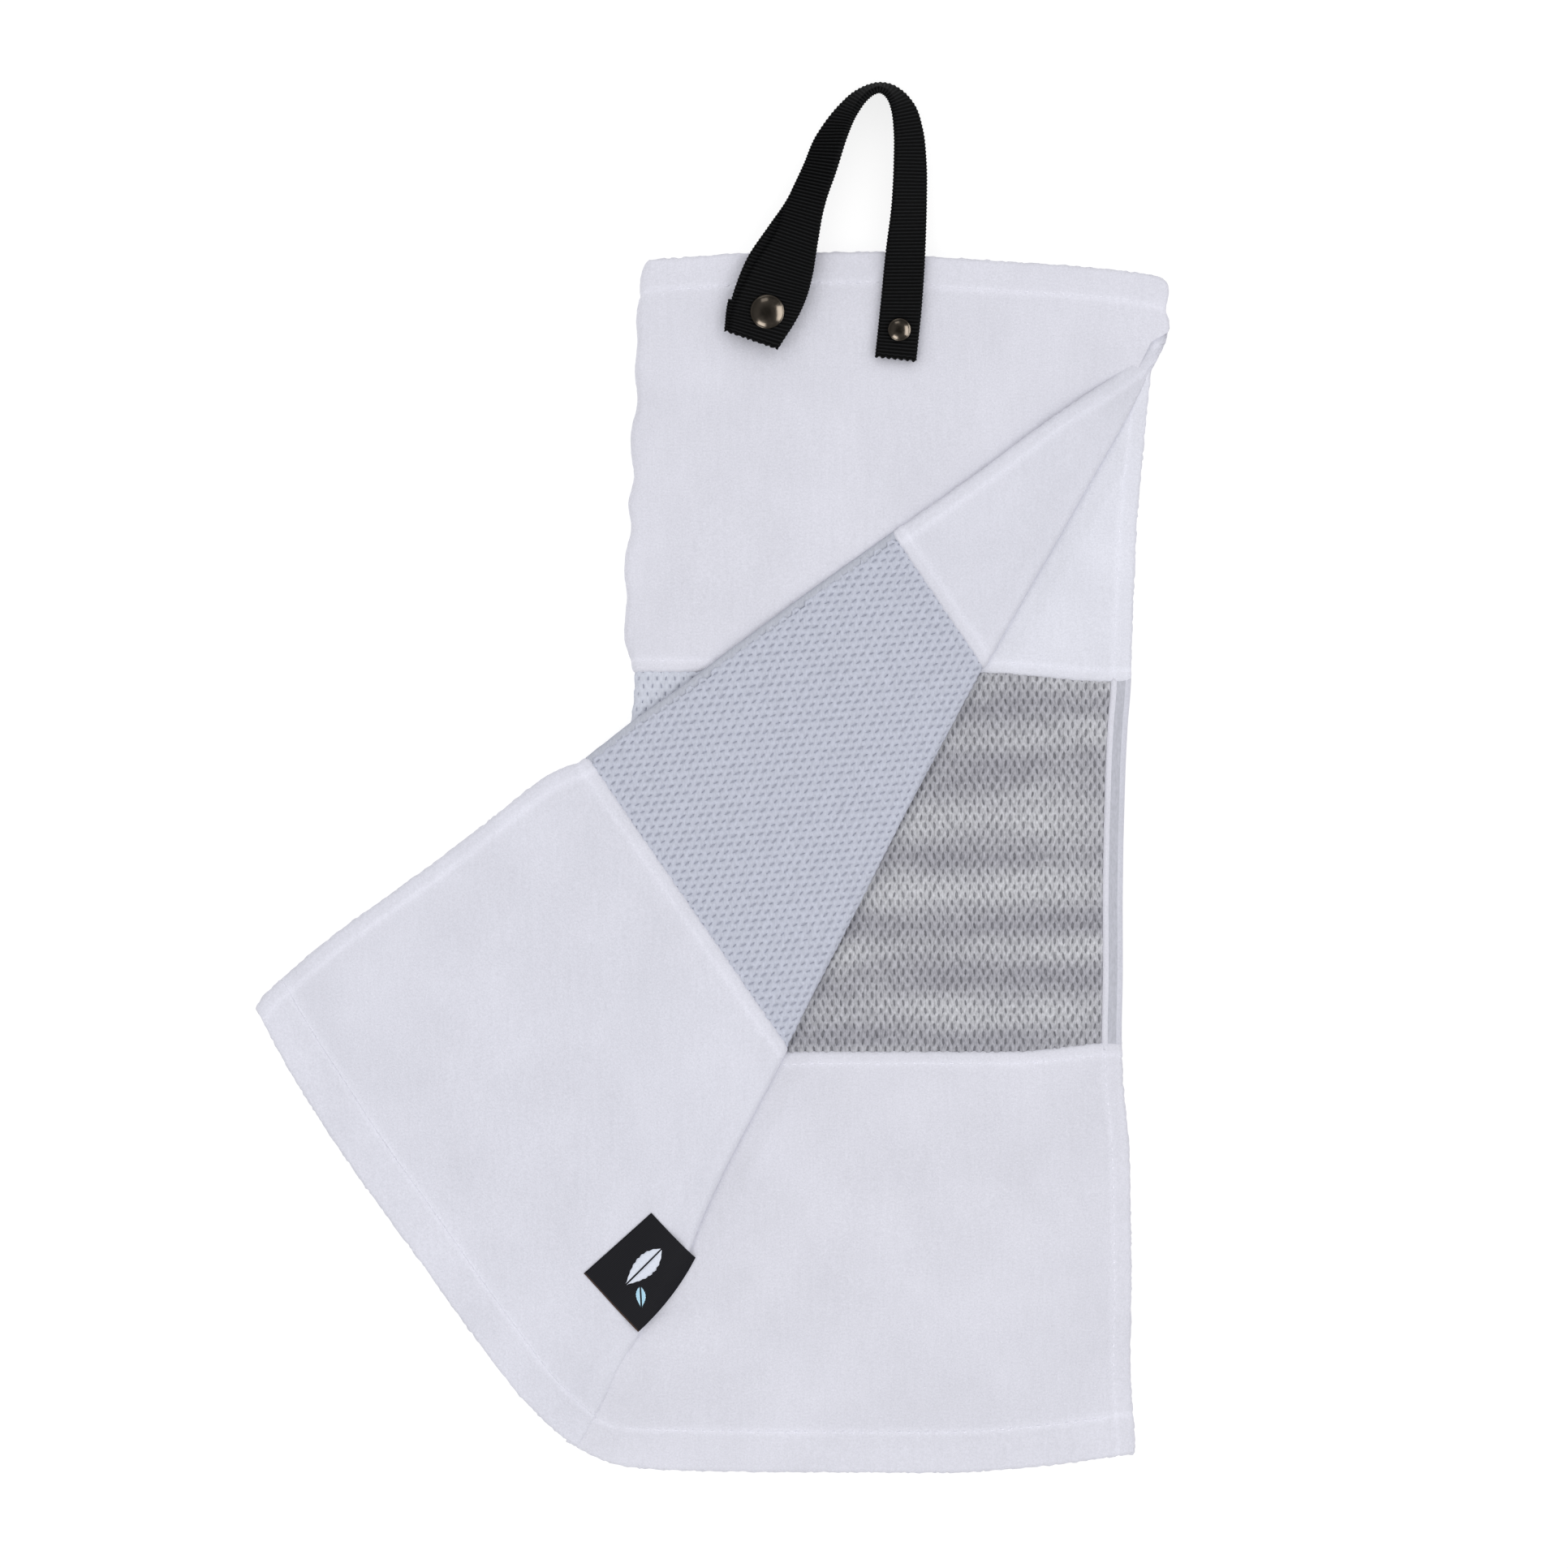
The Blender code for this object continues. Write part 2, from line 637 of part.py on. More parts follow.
def build_snap(pivot, axis_point):
    post_end = CAP_Z - 2 * PLY - PLY_GAP - GAP
    cap = dome(SNAP_CAP_RADIUS, CAP_Z, SNAP_CAP_RIM, SNAP_CAP_HEIGHT)
    cap += [(POST_RADIUS, CAP_Z), (POST_RADIUS, post_end), (0, post_end)]
    turned_piece("snap_cap", cap, SNAP, METAL, pivot, axis_point)
    ring = [
        (SOCKET_BORE, SOCKET_Z + SOCKET_HEIGHT),
        (SOCKET_RADIUS - SOCKET_BEVEL, SOCKET_Z + SOCKET_HEIGHT),
        (SOCKET_RADIUS, SOCKET_Z + SOCKET_HEIGHT - SOCKET_BEVEL),
        (SOCKET_RADIUS, SOCKET_Z),
        (SOCKET_BORE, SOCKET_Z),
    ]
    turned_piece("snap_socket", ring, SNAP, METAL, pivot, axis_point)
    stud = [
        (0, STUD_Z + STUD_HEIGHT),
        (STUD_RADIUS - STUD_BEVEL, STUD_Z + STUD_HEIGHT),
        (STUD_RADIUS, STUD_Z + STUD_HEIGHT - STUD_BEVEL),
        (STUD_NECK, STUD_Z + STUD_FLANGE),
        (SNAP_FLANGE_RADIUS, STUD_Z + STUD_FLANGE),
        (SNAP_FLANGE_RADIUS, STUD_Z),
        (0, STUD_Z),
    ]
    turned_piece("snap_stud", stud, SNAP, METAL)


def post_profile(top, flange_radius):
    low, high = BACK_FLANGE
    return [
        (0, top),
        (POST_RADIUS, top),
        (POST_RADIUS, high),
        (flange_radius, high),
        (flange_radius, low),
        (0, low),
    ]


def build_posts(back_upper, front_upper, rivet_leg, snap_leg):
    """Snap and rivet posts with their back flanges, and the holes that they pass through."""
    turned_piece("snap_post", post_profile(FRONT_TOP, SNAP_FLANGE_RADIUS), SNAP, METAL)
    turned_piece("rivet_post", post_profile(RIVET_CAP_Z - GAP, RIVET_FLANGE_RADIUS), RIVET, METAL)
    cap = dome(RIVET_CAP_RADIUS, RIVET_CAP_Z, RIVET_CAP_RIM, RIVET_CAP_HEIGHT) + [(0, RIVET_CAP_Z)]
    turned_piece("rivet_cap", cap, RIVET, METAL)
    hole = POST_RADIUS + GAP
    bore("snap_hole", (back_upper, front_upper), SNAP, hole, -1, FRONT_TOP + 1)
    bore("rivet_hole", (back_upper, front_upper, rivet_leg), RIVET, hole, -1, RIVET_CAP_Z + 1)
    recess_top = BACK_FLANGE[1] + GAP
    bore("snap_recess", (back_upper,), SNAP, SNAP_FLANGE_RADIUS + GAP, -1, recess_top)
    bore("rivet_recess", (back_upper,), RIVET, RIVET_FLANGE_RADIUS + GAP, -1, recess_top)
    bore("cap_hole", (snap_leg,), SNAP, hole, SOCKET_Z, CAP_Z + 1)


def joint_empty(name, point):
    empty = bpy.data.objects.new(name, None)
    PARTS.objects.link(empty)
    empty.location = Vector(point) * MM
    return empty


clear_scene()
PARTS = new_collection("golf_towel")
CUTTERS = new_collection("cutters")
WHITE = material("white_terry", (0.72, 0.73, 0.80), 0.95)
GREY = material("grey_mesh", (0.45, 0.47, 0.55), 0.9)
THREAD = material("white_thread", (0.78, 0.79, 0.85), 0.8)
INK = material("black_webbing", (0.012, 0.012, 0.013), 0.75)
LABEL = material("black_label", (0.016, 0.016, 0.018), 0.65)
METAL = material("gunmetal", (0.10, 0.09, 0.08), 0.25, 1.0)

turn_point = (*((TURN_TOP + TURN_BOTTOM) / 2), FLAP - (LEAF_PITCH - HEM) / 2)
lift_point = (SNAP_LEG[-1][0], SNAP_LEG[-1][1], SNAP_LEG[-1][2])
turn_pivot = joint_empty("flap_turn_axis", turn_point)
lift_pivot = joint_empty("strap_lift_axis", lift_point)

upper_panels = build_leaves()
build_hems()
build_towel_thread()
build_flap(turn_pivot, turn_point)
build_label(turn_pivot, turn_point)
snap_strap, rivet_strap = build_strap(lift_pivot, lift_point)
build_snap(lift_pivot, lift_point)
build_posts(*upper_panels, rivet_strap, snap_strap)
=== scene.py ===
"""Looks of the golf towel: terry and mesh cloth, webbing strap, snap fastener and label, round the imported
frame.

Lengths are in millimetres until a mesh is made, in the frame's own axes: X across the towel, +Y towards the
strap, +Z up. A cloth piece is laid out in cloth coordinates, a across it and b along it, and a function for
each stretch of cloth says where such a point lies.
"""

import json
import math

import bpy
import numpy as np
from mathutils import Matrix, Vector


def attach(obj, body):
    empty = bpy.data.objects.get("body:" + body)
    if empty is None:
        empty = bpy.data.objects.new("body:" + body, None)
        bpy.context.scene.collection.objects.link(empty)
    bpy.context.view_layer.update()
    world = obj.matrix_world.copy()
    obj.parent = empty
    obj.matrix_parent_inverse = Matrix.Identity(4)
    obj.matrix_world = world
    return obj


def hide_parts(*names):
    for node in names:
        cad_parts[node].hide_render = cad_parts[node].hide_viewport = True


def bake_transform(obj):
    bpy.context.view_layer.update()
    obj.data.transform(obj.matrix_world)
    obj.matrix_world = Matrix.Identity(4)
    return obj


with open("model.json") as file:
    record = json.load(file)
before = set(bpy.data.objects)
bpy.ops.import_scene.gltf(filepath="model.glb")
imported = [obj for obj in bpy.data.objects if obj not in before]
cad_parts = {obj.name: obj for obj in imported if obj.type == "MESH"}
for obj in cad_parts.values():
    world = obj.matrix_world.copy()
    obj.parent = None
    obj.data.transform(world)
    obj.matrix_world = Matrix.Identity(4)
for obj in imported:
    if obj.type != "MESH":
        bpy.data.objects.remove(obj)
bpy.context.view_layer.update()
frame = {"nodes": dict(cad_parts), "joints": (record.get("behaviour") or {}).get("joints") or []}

MM = 0.001
JOINTS = {joint["name"]: joint for joint in frame["joints"]}

# Cloth, as the frame was laid out: thicknesses, heights of its layers, seams, hems and rows of stitches
TERRY = 2.6
MESH = 1.6
HEM = 3.0
LEAF_PITCH = 3.4
FOLD_RADIUS = LEAF_PITCH / 2
BACK_Z = TERRY / 2
FRONT_Z = BACK_Z + LEAF_PITCH
FLAP_Z = BACK_Z + 2 * LEAF_PITCH
LAID_GAP = 0.15
UPPER_SEAM = 36.5
LOWER_SEAM = -92.0
TOP_Y = 176.0
FOLD_LOW_Y = -203.0
TOP_HEM = 10.5
BOTTOM_HEM = 14.0
SIDE_HEM = 6.0
SIDE_STITCH = 5.0
TOP_STITCH = 4.2
SEAM_LAP = 3.0
RIPPLE_PITCH = 22.0

# Turn line: it runs along the flap's hinge
HINGE = np.array(JOINTS["flap_turn"]["pos_m"][:2]) / MM
ALONG = np.array(JOINTS["flap_turn"]["axis"][:2])
RIGHT = np.array([ALONG[1], -ALONG[0]])
TURN_LOW_S = -214.3
TURN_TOP_Y = 154.0
FLAP_TOP = 157.5
ROLL_SHIFT = 1.9

SNAP = np.array([19.2, 159.3])
RIVET = np.array([64.3, 153.4])
GROUND_GAP = 0.02


# ---- numbers


def smooth(low, high, x):
    t = np.clip((x - low) / (high - low), 0, 1)
    return t * t * (3 - 2 * t)


def band(start, full, ebb, end, x):
    """Rises from 0 to 1 between the first two places and falls back between the last two."""
    return smooth(start, full, x) * (1 - smooth(ebb, end, x))


def curve(*points):
    """A smooth function through these (x, y) points, flat beyond its ends."""
    xs, ys = np.array(points, float).T
    slopes = np.gradient(ys, xs)

    def at(x):
        x = np.clip(x, xs[0], xs[-1])
        k = np.clip(np.searchsorted(xs, x) - 1, 0, len(xs) - 2)
        width = xs[k + 1] - xs[k]
        t = (x - xs[k]) / width
        rise = ys[k] * (1 + 2 * t) * (1 - t) ** 2 + ys[k + 1] * t * t * (3 - 2 * t)
        return rise + width * (slopes[k] * t * (1 - t) ** 2 - slopes[k + 1] * t * t * (1 - t))

    return at


def scatter(i, j, seed):
    """A fixed random number from -1 to 1 for each pair of whole numbers."""
    h = (i * 374761393 + j * 668265263 + seed * 1442695041) & 0xFFFFFFFF
    h = ((h ^ (h >> 13)) * 1274126177) & 0xFFFFFFFF
    return ((h ^ (h >> 16)) & 0xFFFF) / 32767.5 - 1


def noise(x, y, period, seed):
    """Smooth noise from -1 to 1 with features about period wide."""
    gx, gy = x / period, y / period
    ix, iy = np.floor(gx).astype(np.int64), np.floor(gy).astype(np.int64)
    wx, wy = smooth(0, 1, gx - ix), smooth(0, 1, gy - iy)
    low = scatter(ix, iy, seed) * (1 - wx) + scatter(ix + 1, iy, seed) * wx
    high = scatter(ix, iy + 1, seed) * (1 - wx) + scatter(ix + 1, iy + 1, seed) * wx
    return low * (1 - wy) + high * wy


def bump(distance, width):
    return np.exp(-((distance / width) ** 2))


def stops(length, step, fine=(), round_start=0.0, round_end=0.0):
    """Places from 0 to length about step apart, closer round each fine place and over each rounded end."""
    places = list(np.linspace(0, length, max(2, round(length / step) + 1)))
    near = (-1.6, -0.9, -0.4, 0, 0.4, 0.9, 1.6)
    for place in fine:
        places = [p for p in places if abs(p - place) > near[-1]] + [place + d for d in near]
    turn = 1 - np.cos(np.radians((0, 22, 45, 68, 90)))
    for radius, at, inward in ((round_start, 0, turn), (round_end, length, -turn)):
        if radius:
            places = [p for p in places if abs(p - at) > 1.3 * radius] + list(at + radius * inward)
    return np.unique(np.round(np.clip(places, 0, length), 4))


def rounding(distance, radius):
    """Share of the full thickness at this distance inside a rounded edge."""
    inside = np.clip(distance / radius, 0, 1)
    return np.maximum(np.sqrt(1 - (1 - inside) ** 2), 0.08)


# ---- outlines

fold_edge = curve(
    (-231, -41.5), (-92, -33), (15, -29), (28, -27.2), (38, -27.2), (42, -28), (47, -29.7), (54, -29.7),
    (63, -29), (71, -29.9), (78, -29.3), (86, -27.5), (94, -28.5), (104, -26.6), (111, -27.5), (120, -27.4),
    (128, -25.5), (140, -26.2), (150, -25.4), (159, -25.7), (166, -24.4), (172, -24.1), (175, -23.2),
    (177.5, -21.4),
)
right_edge = curve(
    (-233, 145), (-228, 145.6), (-222, 145.1), (-206, 144.0), (-178, 144.2), (-150, 144), (-122, 143.1),
    (-106, 141.5), (-92, 140.9), (-67, 141.2), (-39, 141.2), (-11, 141.7), (17, 142.8), (33, 144),
    (44, 144.2), (67, 145.1), (89, 146.2), (111, 148.1), (128, 149.5), (142, 151), (171, 156.3),
)
top_edge = curve(
    (-26, 174), (-23.6, 175.6), (-21.2, 177.5), (-18.5, 178.1), (-12.9, 178.5), (-4.6, 179.1), (1, 179.6),
    (42, 180.5), (57, 180.6), (76, 179), (90, 178.1), (106, 177), (123, 175.9), (140, 174.2), (148, 173.1),
    (152.4, 172.2), (155, 171.2), (156.6, 169.4), (157.4, 167.6),
)
bottom_edge = curve(
    (-50, -227), (-46.2, -229.4), (-40.7, -232.3), (-32.4, -235.4), (-21, -236.9), (-7, -237.5), (48, -238),
    (90, -237.8), (118, -235.4), (143, -231.9),
)
flap_bottom = curve(
    (-50, -227.4), (-46, -229.3), (-41, -231.3), (-34, -233.3), (-20, -236), (0, -237.2), (46, -238.6),
    (93, -239.8), (130, -238.4), (142, -237),
)
# The front leaf's free edge, before the leaf was turned back
front_free_edge = curve(
    (-240, 142.4), (-236, 143.1), (-232, 144.1), (-222, 144.9), (-204, 146.3), (-170, 147.3), (-135, 148.4),
    (-114, 149.5), (-107, 149.5), (-101, 148.4), (-96, 147.1), (-88, 147.2), (-75, 147.9), (-52, 148.2),
    (-34, 148.9), (0, 150.2), (35, 151.5), (70, 152.9), (105, 155.0), (139, 155.8), (150, 156.8),
    (155.6, 157.0), (160.6, 155.8),
)
# and its free edge above the turn
front_corner_edge = curve(
    (150, 155.6), (153, 156.4), (156, 156.8), (160.6, 155.8), (165.5, 156.8), (171, 156.6), (176, 156.4)
)


def fold_centre(y):
    """X of the fold's centre line. The folded edge is scalloped along the terry."""
    return fold_edge(y) + FOLD_RADIUS + TERRY / 2


def back_upper_seam(x):
    return UPPER_SEAM - 3.4 * smooth(88, 140, x)


def back_lower_seam(x):
    return LOWER_SEAM - 1.4 + 3.2 * smooth(104, 140, x)


def turn_x(y):
    return HINGE[0] + (y - HINGE[1]) * ALONG[0] / ALONG[1]


def to_turn(x, y):
    """(s, n): distance along the turn line from the hinge's point, and distance to the right of it."""
    x, y = x - HINGE[0], y - HINGE[1]
    return x * ALONG[0] + y * ALONG[1], x * RIGHT[0] + y * RIGHT[1]


def from_turn(s, n):
    return HINGE[0] + s * ALONG[0] + n * RIGHT[0], HINGE[1] + s * ALONG[1] + n * RIGHT[1]


# How far right of the turn line its visible edge lies
turn_edge = curve(
    (-214, 0.5), (-180, -0.2), (-160, 0.8), (-144, 2.0), (-130, 0.6), (-63, -0.6), (0, -1.6), (80, -1.9),
    (150, 0.2), (190, 1.2), (204, 1.0), (209, 0.8), (214, 0.1),
)


def pleat(s):
    """From 0 where the turn line starts, at the towel's lower left, to 1 where all three layers lie apart."""
    return smooth(TURN_LOW_S - 10, TURN_LOW_S + 26, s)


def tip(s):
    """Rises to 1 at the turn's upper end, where the turned-back part comes out of the leaf."""
    return smooth(160, 212, s)


def tip_share(s):
    """Share of its thickness that the cloth keeps there, where it is pulled tight."""
    return 1 - 0.62 * tip(s)


# ---- where each stretch of cloth lies


def back_waves(x, y):
    """Slow undulation of the back leaf, with ripples across the mesh band and one long crease below it."""
    phase = 2 * math.pi * (y + 0.10 * x + 8 * noise(x, y, 38, 4)) / RIPPLE_PITCH
    ripple = 0.26 * np.sin(phase) * (0.5 + 0.5 * noise(x, y, 24, 3))
    on_mesh = band(LOWER_SEAM, LOWER_SEAM + 12, UPPER_SEAM - 12, UPPER_SEAM, y)
    crease = 0.9 * bump((x - 62) * 0.62 - (y + 150) * 0.78 - 5, 14) * band(-215, -180, -120, -100, y)
    return 0.25 * noise(x, y, 45, 5) + ripple * on_mesh + crease * smooth(20, 60, x)


def turn_crease(s, n):
    """Depth of the soft crease that the turn fades into below the label."""
    return 0.9 * bump(n - turn_edge(s), 3.0) * band(-212, -200, -180, -168, s)


def corner_lift(x, y):
    """The back leaf rises to meet the turned-back part, all the way below the label and a little above it."""
    s, n = to_turn(x, y)
    step = flap_height(x, y, s) - BACK_Z + LAID_GAP
    low = np.maximum(step, 0) * band(-7, -2.5, -1, 27, n) * (1 - smooth(-190, -150, s))
    on_mesh = band(LOWER_SEAM - 4, LOWER_SEAM + 4, UPPER_SEAM - 4, UPPER_SEAM + 4, y)
    past = n - turn_edge(s)
    beside = (2.9 - 1.7 * on_mesh) * smooth(-200, -160, s) * band(-3.5, -0.5, -0.5, 9, past)
    return np.maximum(low, beside) - turn_crease(s, n)


def back_leaf(a, b):
    """a is X and b is Y."""
    right_lift = 0.5 * bump(a - right_edge(b), 12)
    z = BACK_Z + np.maximum(back_waves(a, b), -0.1) + right_lift * smooth(-200, -100, b) + corner_lift(a, b)
    return np.stack([a, b, z], -1)


def front_leaf(a, b):
    """a runs from the fold's underside, round it and along the front leaf; b is Y."""
    centre = fold_centre(b)
    turn = np.clip(a / FOLD_RADIUS, 0, math.pi)
    past = np.maximum(a - math.pi * FOLD_RADIUS, 0)
    flat = np.minimum(a, 0)
    x = centre - FOLD_RADIUS * np.sin(turn) + past - flat
    soft = 0.35 * noise(x, b, 38, 11) * smooth(0, 25, past)
    z = BACK_Z + FOLD_RADIUS * (1 - np.cos(turn)) + np.maximum(soft, -0.25)
    return np.stack([x, b, z], -1)


def flap_height(x, y, s):
    """Middle height of the turned-back part: over the folded leaves, then down to the ground."""
    over = smooth(-98, -24, x) * pleat(s)
    slow = 0.5 * noise(x, y, 42, 21) * over
    return BACK_Z + LAID_GAP + (FLAP_Z - BACK_Z - LAID_GAP) * over + slow - 2.2 * tip(s)


def swell(s, n):
    """The turned-back cloth puffs up a little just left of the turn."""
    past = turn_edge(s) - FOLD_RADIUS - TERRY / 2 - n
    return 0.7 * pleat(s) * (1 - tip(s)) * bump(past - 9, 7) * smooth(0, 7, past)


def crease_distance(x, y):
    """Distance from the soft crease that runs from below the label to the flap's bottom hem."""
    direction = np.array([-27.9, -27.0]) / math.hypot(27.9, 27.0)
    return (x + 26.6) * direction[1] - (y + 189) * direction[0]


def roll_start(b):
    """Cloth coordinate where the cloth starts to roll over the turn line."""
    return turn_x(b) - (ROLL_SHIFT + 0.5 * math.pi * FOLD_RADIUS) / RIGHT[0]


def flap(a, b):
    """(a, b) is a point of the front leaf before it was turned: the cloth rolls over the turn line."""
    s, q = to_turn(a, b)
    share = pleat(s)
    radius = (0.25 + (FOLD_RADIUS - 0.25) * share) * (1 - 0.75 * tip(s))
    low_z = BACK_Z + (FRONT_Z - BACK_Z) * share
    centre = turn_edge(s) - radius - TERRY / 2 * tip_share(s)
    reach = q + math.pi * radius / 2
    turn = np.clip(reach / radius, 0, math.pi)
    far = np.maximum(reach - math.pi * radius, 0)
    n = centre + radius * np.sin(turn) + np.minimum(reach, 0) - far
    x, y = from_turn(s, n)
    settled = smooth(0, 12, far)
    z = (low_z + radius * (1 - np.cos(turn))) * (1 - settled) + flap_height(x, y, s) * settled + swell(s, n)
    z = z - 0.7 * share * bump(far, 5) * smooth(math.pi / 2, math.pi, turn)
    crease = 1.3 * bump(crease_distance(x, y), 2.5) * band(-221, -205, -196, -186, y)
    z = z - turn_crease(s, n) * smooth(0, 2, far) - crease * smooth(0, 7, far)
    inside = front_free_edge(b) - a
    on_leaf = smooth(-98, -24, x) * share
    z = z - 0.55 * on_leaf * (1 - smooth(0, 9, inside)) - 1.25 * (1 - rounding(inside, 2.6)) * settled
    return np.stack([x, y, z], -1)


def normals(surface, a, b):
    step = 0.05
    across = surface(a + step, b) - surface(a - step, b)
    along = surface(a, b + step) - surface(a, b - step)
    made = np.cross(across, along)
    return made / np.maximum(np.linalg.norm(made, axis=-1, keepdims=True), 1e-9)


# ---- meshes

CUTS = {}
SMALLEST_SIDE = 0.01


def link(name, data):
    obj = bpy.data.objects.new(name, data)
    bpy.context.scene.collection.objects.link(obj)
    return obj


def new_object(name, points, faces, *finishes, kinds=()):
    """One closed mesh. faces may be a list of arrays, and kinds then gives each face its finish."""
    points = np.asarray(points, float) * MM
    faces = [np.asarray(part) for part in (faces if isinstance(faces, list) else [faces])]
    volume = sum(
        np.einsum("ij,ij->", points[part[:, 0]], np.cross(points[part[:, k]], points[part[:, k + 1]]))
        for part in faces
        for k in range(1, part.shape[1] - 1)
    )
    if volume < 0:
        faces = [part[:, ::-1] for part in faces]
    data = bpy.data.meshes.new(name)
    data.from_pydata(points.tolist(), [], [face for part in faces for face in part.tolist()])
    for finish in finishes:
        data.materials.append(finish)
    if len(finishes) > 1:
        data.polygons.foreach_set("material_index", np.concatenate(kinds).astype(np.int32))
    data.shade_smooth()
    return link(name, data)


def point_values(obj, name, values):
    """Give each point of the mesh a number that its material reads."""
    made = obj.data.attributes.new(name, "FLOAT", "POINT")
    made.data.foreach_set("value", np.asarray(values).astype(np.float32))


def grid_faces(rows, columns, start=0):
    index = start + np.arange(rows * columns).reshape(rows, columns)
    return np.stack([index[:-1, :-1], index[:-1, 1:], index[1:, 1:], index[1:, :-1]], -1).reshape(-1, 4)


def slab_faces(rows, columns):
    """Faces of a top grid, of the bottom grid that follows it, and round the four sides that join them."""
    below = rows * columns
    index = np.arange(below).reshape(rows, columns)
    ring = np.concatenate([index[0, :-1], index[:-1, -1], index[-1, :0:-1], index[:0:-1, 0]])
    after = np.roll(ring, -1)
    bottom = grid_faces(rows, columns, below)[:, ::-1]
    return [grid_faces(rows, columns), bottom, np.stack([ring, ring + below, after + below, after], -1)]


def slab(middle, normal, above, below):
    """Points of a sheet's upper and then its lower side, from its middle surface."""
    sides = middle + normal * above[..., None], middle - normal * below[..., None]
    return np.concatenate([side.reshape(-1, 3) for side in sides])


def joined(name, parts, finish):
    """One object from several closed pieces, each of them its points followed by its arrays of faces."""
    points, *faces = zip(*parts)
    starts = np.cumsum([0] + [len(one) for one in points])
    faces = [np.concatenate([one + start for one, start in zip(group, starts)]) for group in faces]
    return new_object(name, np.concatenate(points), faces, finish)


def grounded(points):
    """The same points, none of them under the ground."""
    points[:, 2] = np.maximum(points[:, 2], GROUND_GAP)
    return points


def terry_pile(a, b, seed):
    """Height of the looped pile: fine nubs, and faint columns along the cloth."""
    nubs = 0.09 * noise(a, b, 1.3, seed) + 0.06 * noise(a, b, 2.6, seed + 1)
    return nubs + 0.015 * np.cos(2 * math.pi * a / 2.9 + noise(a, b, 20, seed + 2))


def cloth(name, surface, a, b, thick, pressed, finish, seed, lower=0.0):
    """A closed sheet of cloth on this surface. pressed is 1 where a stitch row flattens the pile.

    lower raises its underside, where something is let into it.
    """
    full = np.clip(thick / TERRY, 0, 1)
    above = thick / 2 + terry_pile(a, b, seed) * full
    below = np.minimum(thick / 2 + terry_pile(a, b, seed + 7) * full, thick / 2) - lower
    points = slab(surface(a, b), normals(surface, a, b), above, below)
    loose = 0.3 * np.clip(1.2 - thick / TERRY, 0, 1).reshape(-1, 1)
    fuzz = np.stack([noise(a, b, 0.95, seed + k) for k in (11, 12)], -1).reshape(-1, 2) * loose
    points[:, :2] += np.concatenate([fuzz, fuzz])
    obj = new_object(name, grounded(points), np.concatenate(slab_faces(*a.shape)), finish)
    # Painted light: stitch rows are painted lighter, a painted highlight of their ridges, and the cloth is
    # painted darker, painted shade, where it thins to a rounded edge.
    painted_ridge_light_rim_shade = (0.6 * pressed - np.clip(1.1 - thick / TERRY, 0, 1)).reshape(-1)
    point_values(obj, "painted_ridge_light_rim_shade", np.tile(painted_ridge_light_rim_shade, 2))
    remember_cut(obj, a, b, cell_area(a, b))
    return obj


def cell_area(a, b):
    """Area of a grid of cloth points laid flat."""
    first = (a[1:, 1:] - a[:-1, :-1]) * (b[1:, :-1] - b[:-1, 1:])
    second = (a[1:, :-1] - a[:-1, 1:]) * (b[1:, 1:] - b[:-1, :-1])
    return abs((first - second).sum()) / 2


def remember_cut(obj, a, b, area):
    """Note the flat width, length and area of a piece of cloth."""
    CUTS[obj.name] = (float(np.ptp(a)) * MM, float(np.ptp(b)) * MM, float(area) * MM * MM)


def groove(distance):
    """Change of thickness across a row of stitches: pressed in, with the cloth puffed up beside it."""
    return 0.14 * bump(np.abs(distance) - 1.8, 0.9) - 0.34 * bump(distance, 0.7)


# ---- materials


def nodes_of(name):
    made = bpy.data.materials.new(name)
    made.use_nodes = True
    tree = made.node_tree
    return made, tree, tree.nodes["Principled BSDF"]


def feed(made, inputs):
    """Set each input of a node to a constant, or link it where the value is another node's output."""
    for key, value in inputs.items():
        if isinstance(value, bpy.types.NodeSocket):
            made.id_data.links.new(value, made.inputs[key])
        else:
            made.inputs[key].default_value = value
    return made


def node(tree, kind, inputs=None, **settings):
    made = tree.nodes.new(kind)
    for key, value in settings.items():
        setattr(made, key, value)
    return feed(made, inputs or {})


def position(tree, scale=(1, 1, 1), turn=0.0):
    """Place on the object in millimetres, stretched and turned about Z."""
    inputs = {
        "Vector": node(tree, "ShaderNodeTexCoord").outputs["Object"],
        "Rotation": (0, 0, turn),
        "Scale": tuple(k / MM for k in scale),
    }
    return node(tree, "ShaderNodeMapping", inputs).outputs["Vector"]


def noise_node(vector, scale, detail=2.0, roughness=0.5):
    inputs = {"Vector": vector, "Scale": scale, "Detail": detail, "Roughness": roughness}
    return node(vector.id_data, "ShaderNodeTexNoise", inputs).outputs["Fac"]


def wave_node(vector, scale, **inputs):
    inputs = {"Vector": vector, "Scale": scale, **inputs}
    made = node(vector.id_data, "ShaderNodeTexWave", inputs, wave_type="BANDS", bands_direction="Y")
    return made.outputs["Fac"]


def ramp(value, low, high, to_low, to_high):
    inputs = {"Value": value, "From Min": low, "From Max": high, "To Min": to_low, "To Max": to_high}
    return node(value.id_data, "ShaderNodeMapRange", inputs).outputs["Result"]


def varied(texture, to_low, to_high):
    """Factor between these two limits, from the middle range of a noise texture."""
    return ramp(texture, 0.3, 0.7, to_low, to_high)


def times(first, second, operation="MULTIPLY"):
    return node(first.id_data, "ShaderNodeMath", {0: first, 1: second}, operation=operation).outputs[0]


def shaded(colour, factor):
    """The colour times a factor read from the nodes."""
    inputs = {0: colour, "Scale": factor}
    return node(factor.id_data, "ShaderNodeVectorMath", inputs, operation="SCALE").outputs[0]


def relief(height, strength, depth):
    """Fine relief that the mesh doesn't hold, depth in millimetres."""
    inputs = {"Height": height, "Strength": strength, "Distance": depth * MM}
    return node(height.id_data, "ShaderNodeBump", inputs).outputs["Normal"]


def attribute(tree, name):
    return node(tree, "ShaderNodeAttribute", attribute_name=name).outputs["Fac"]


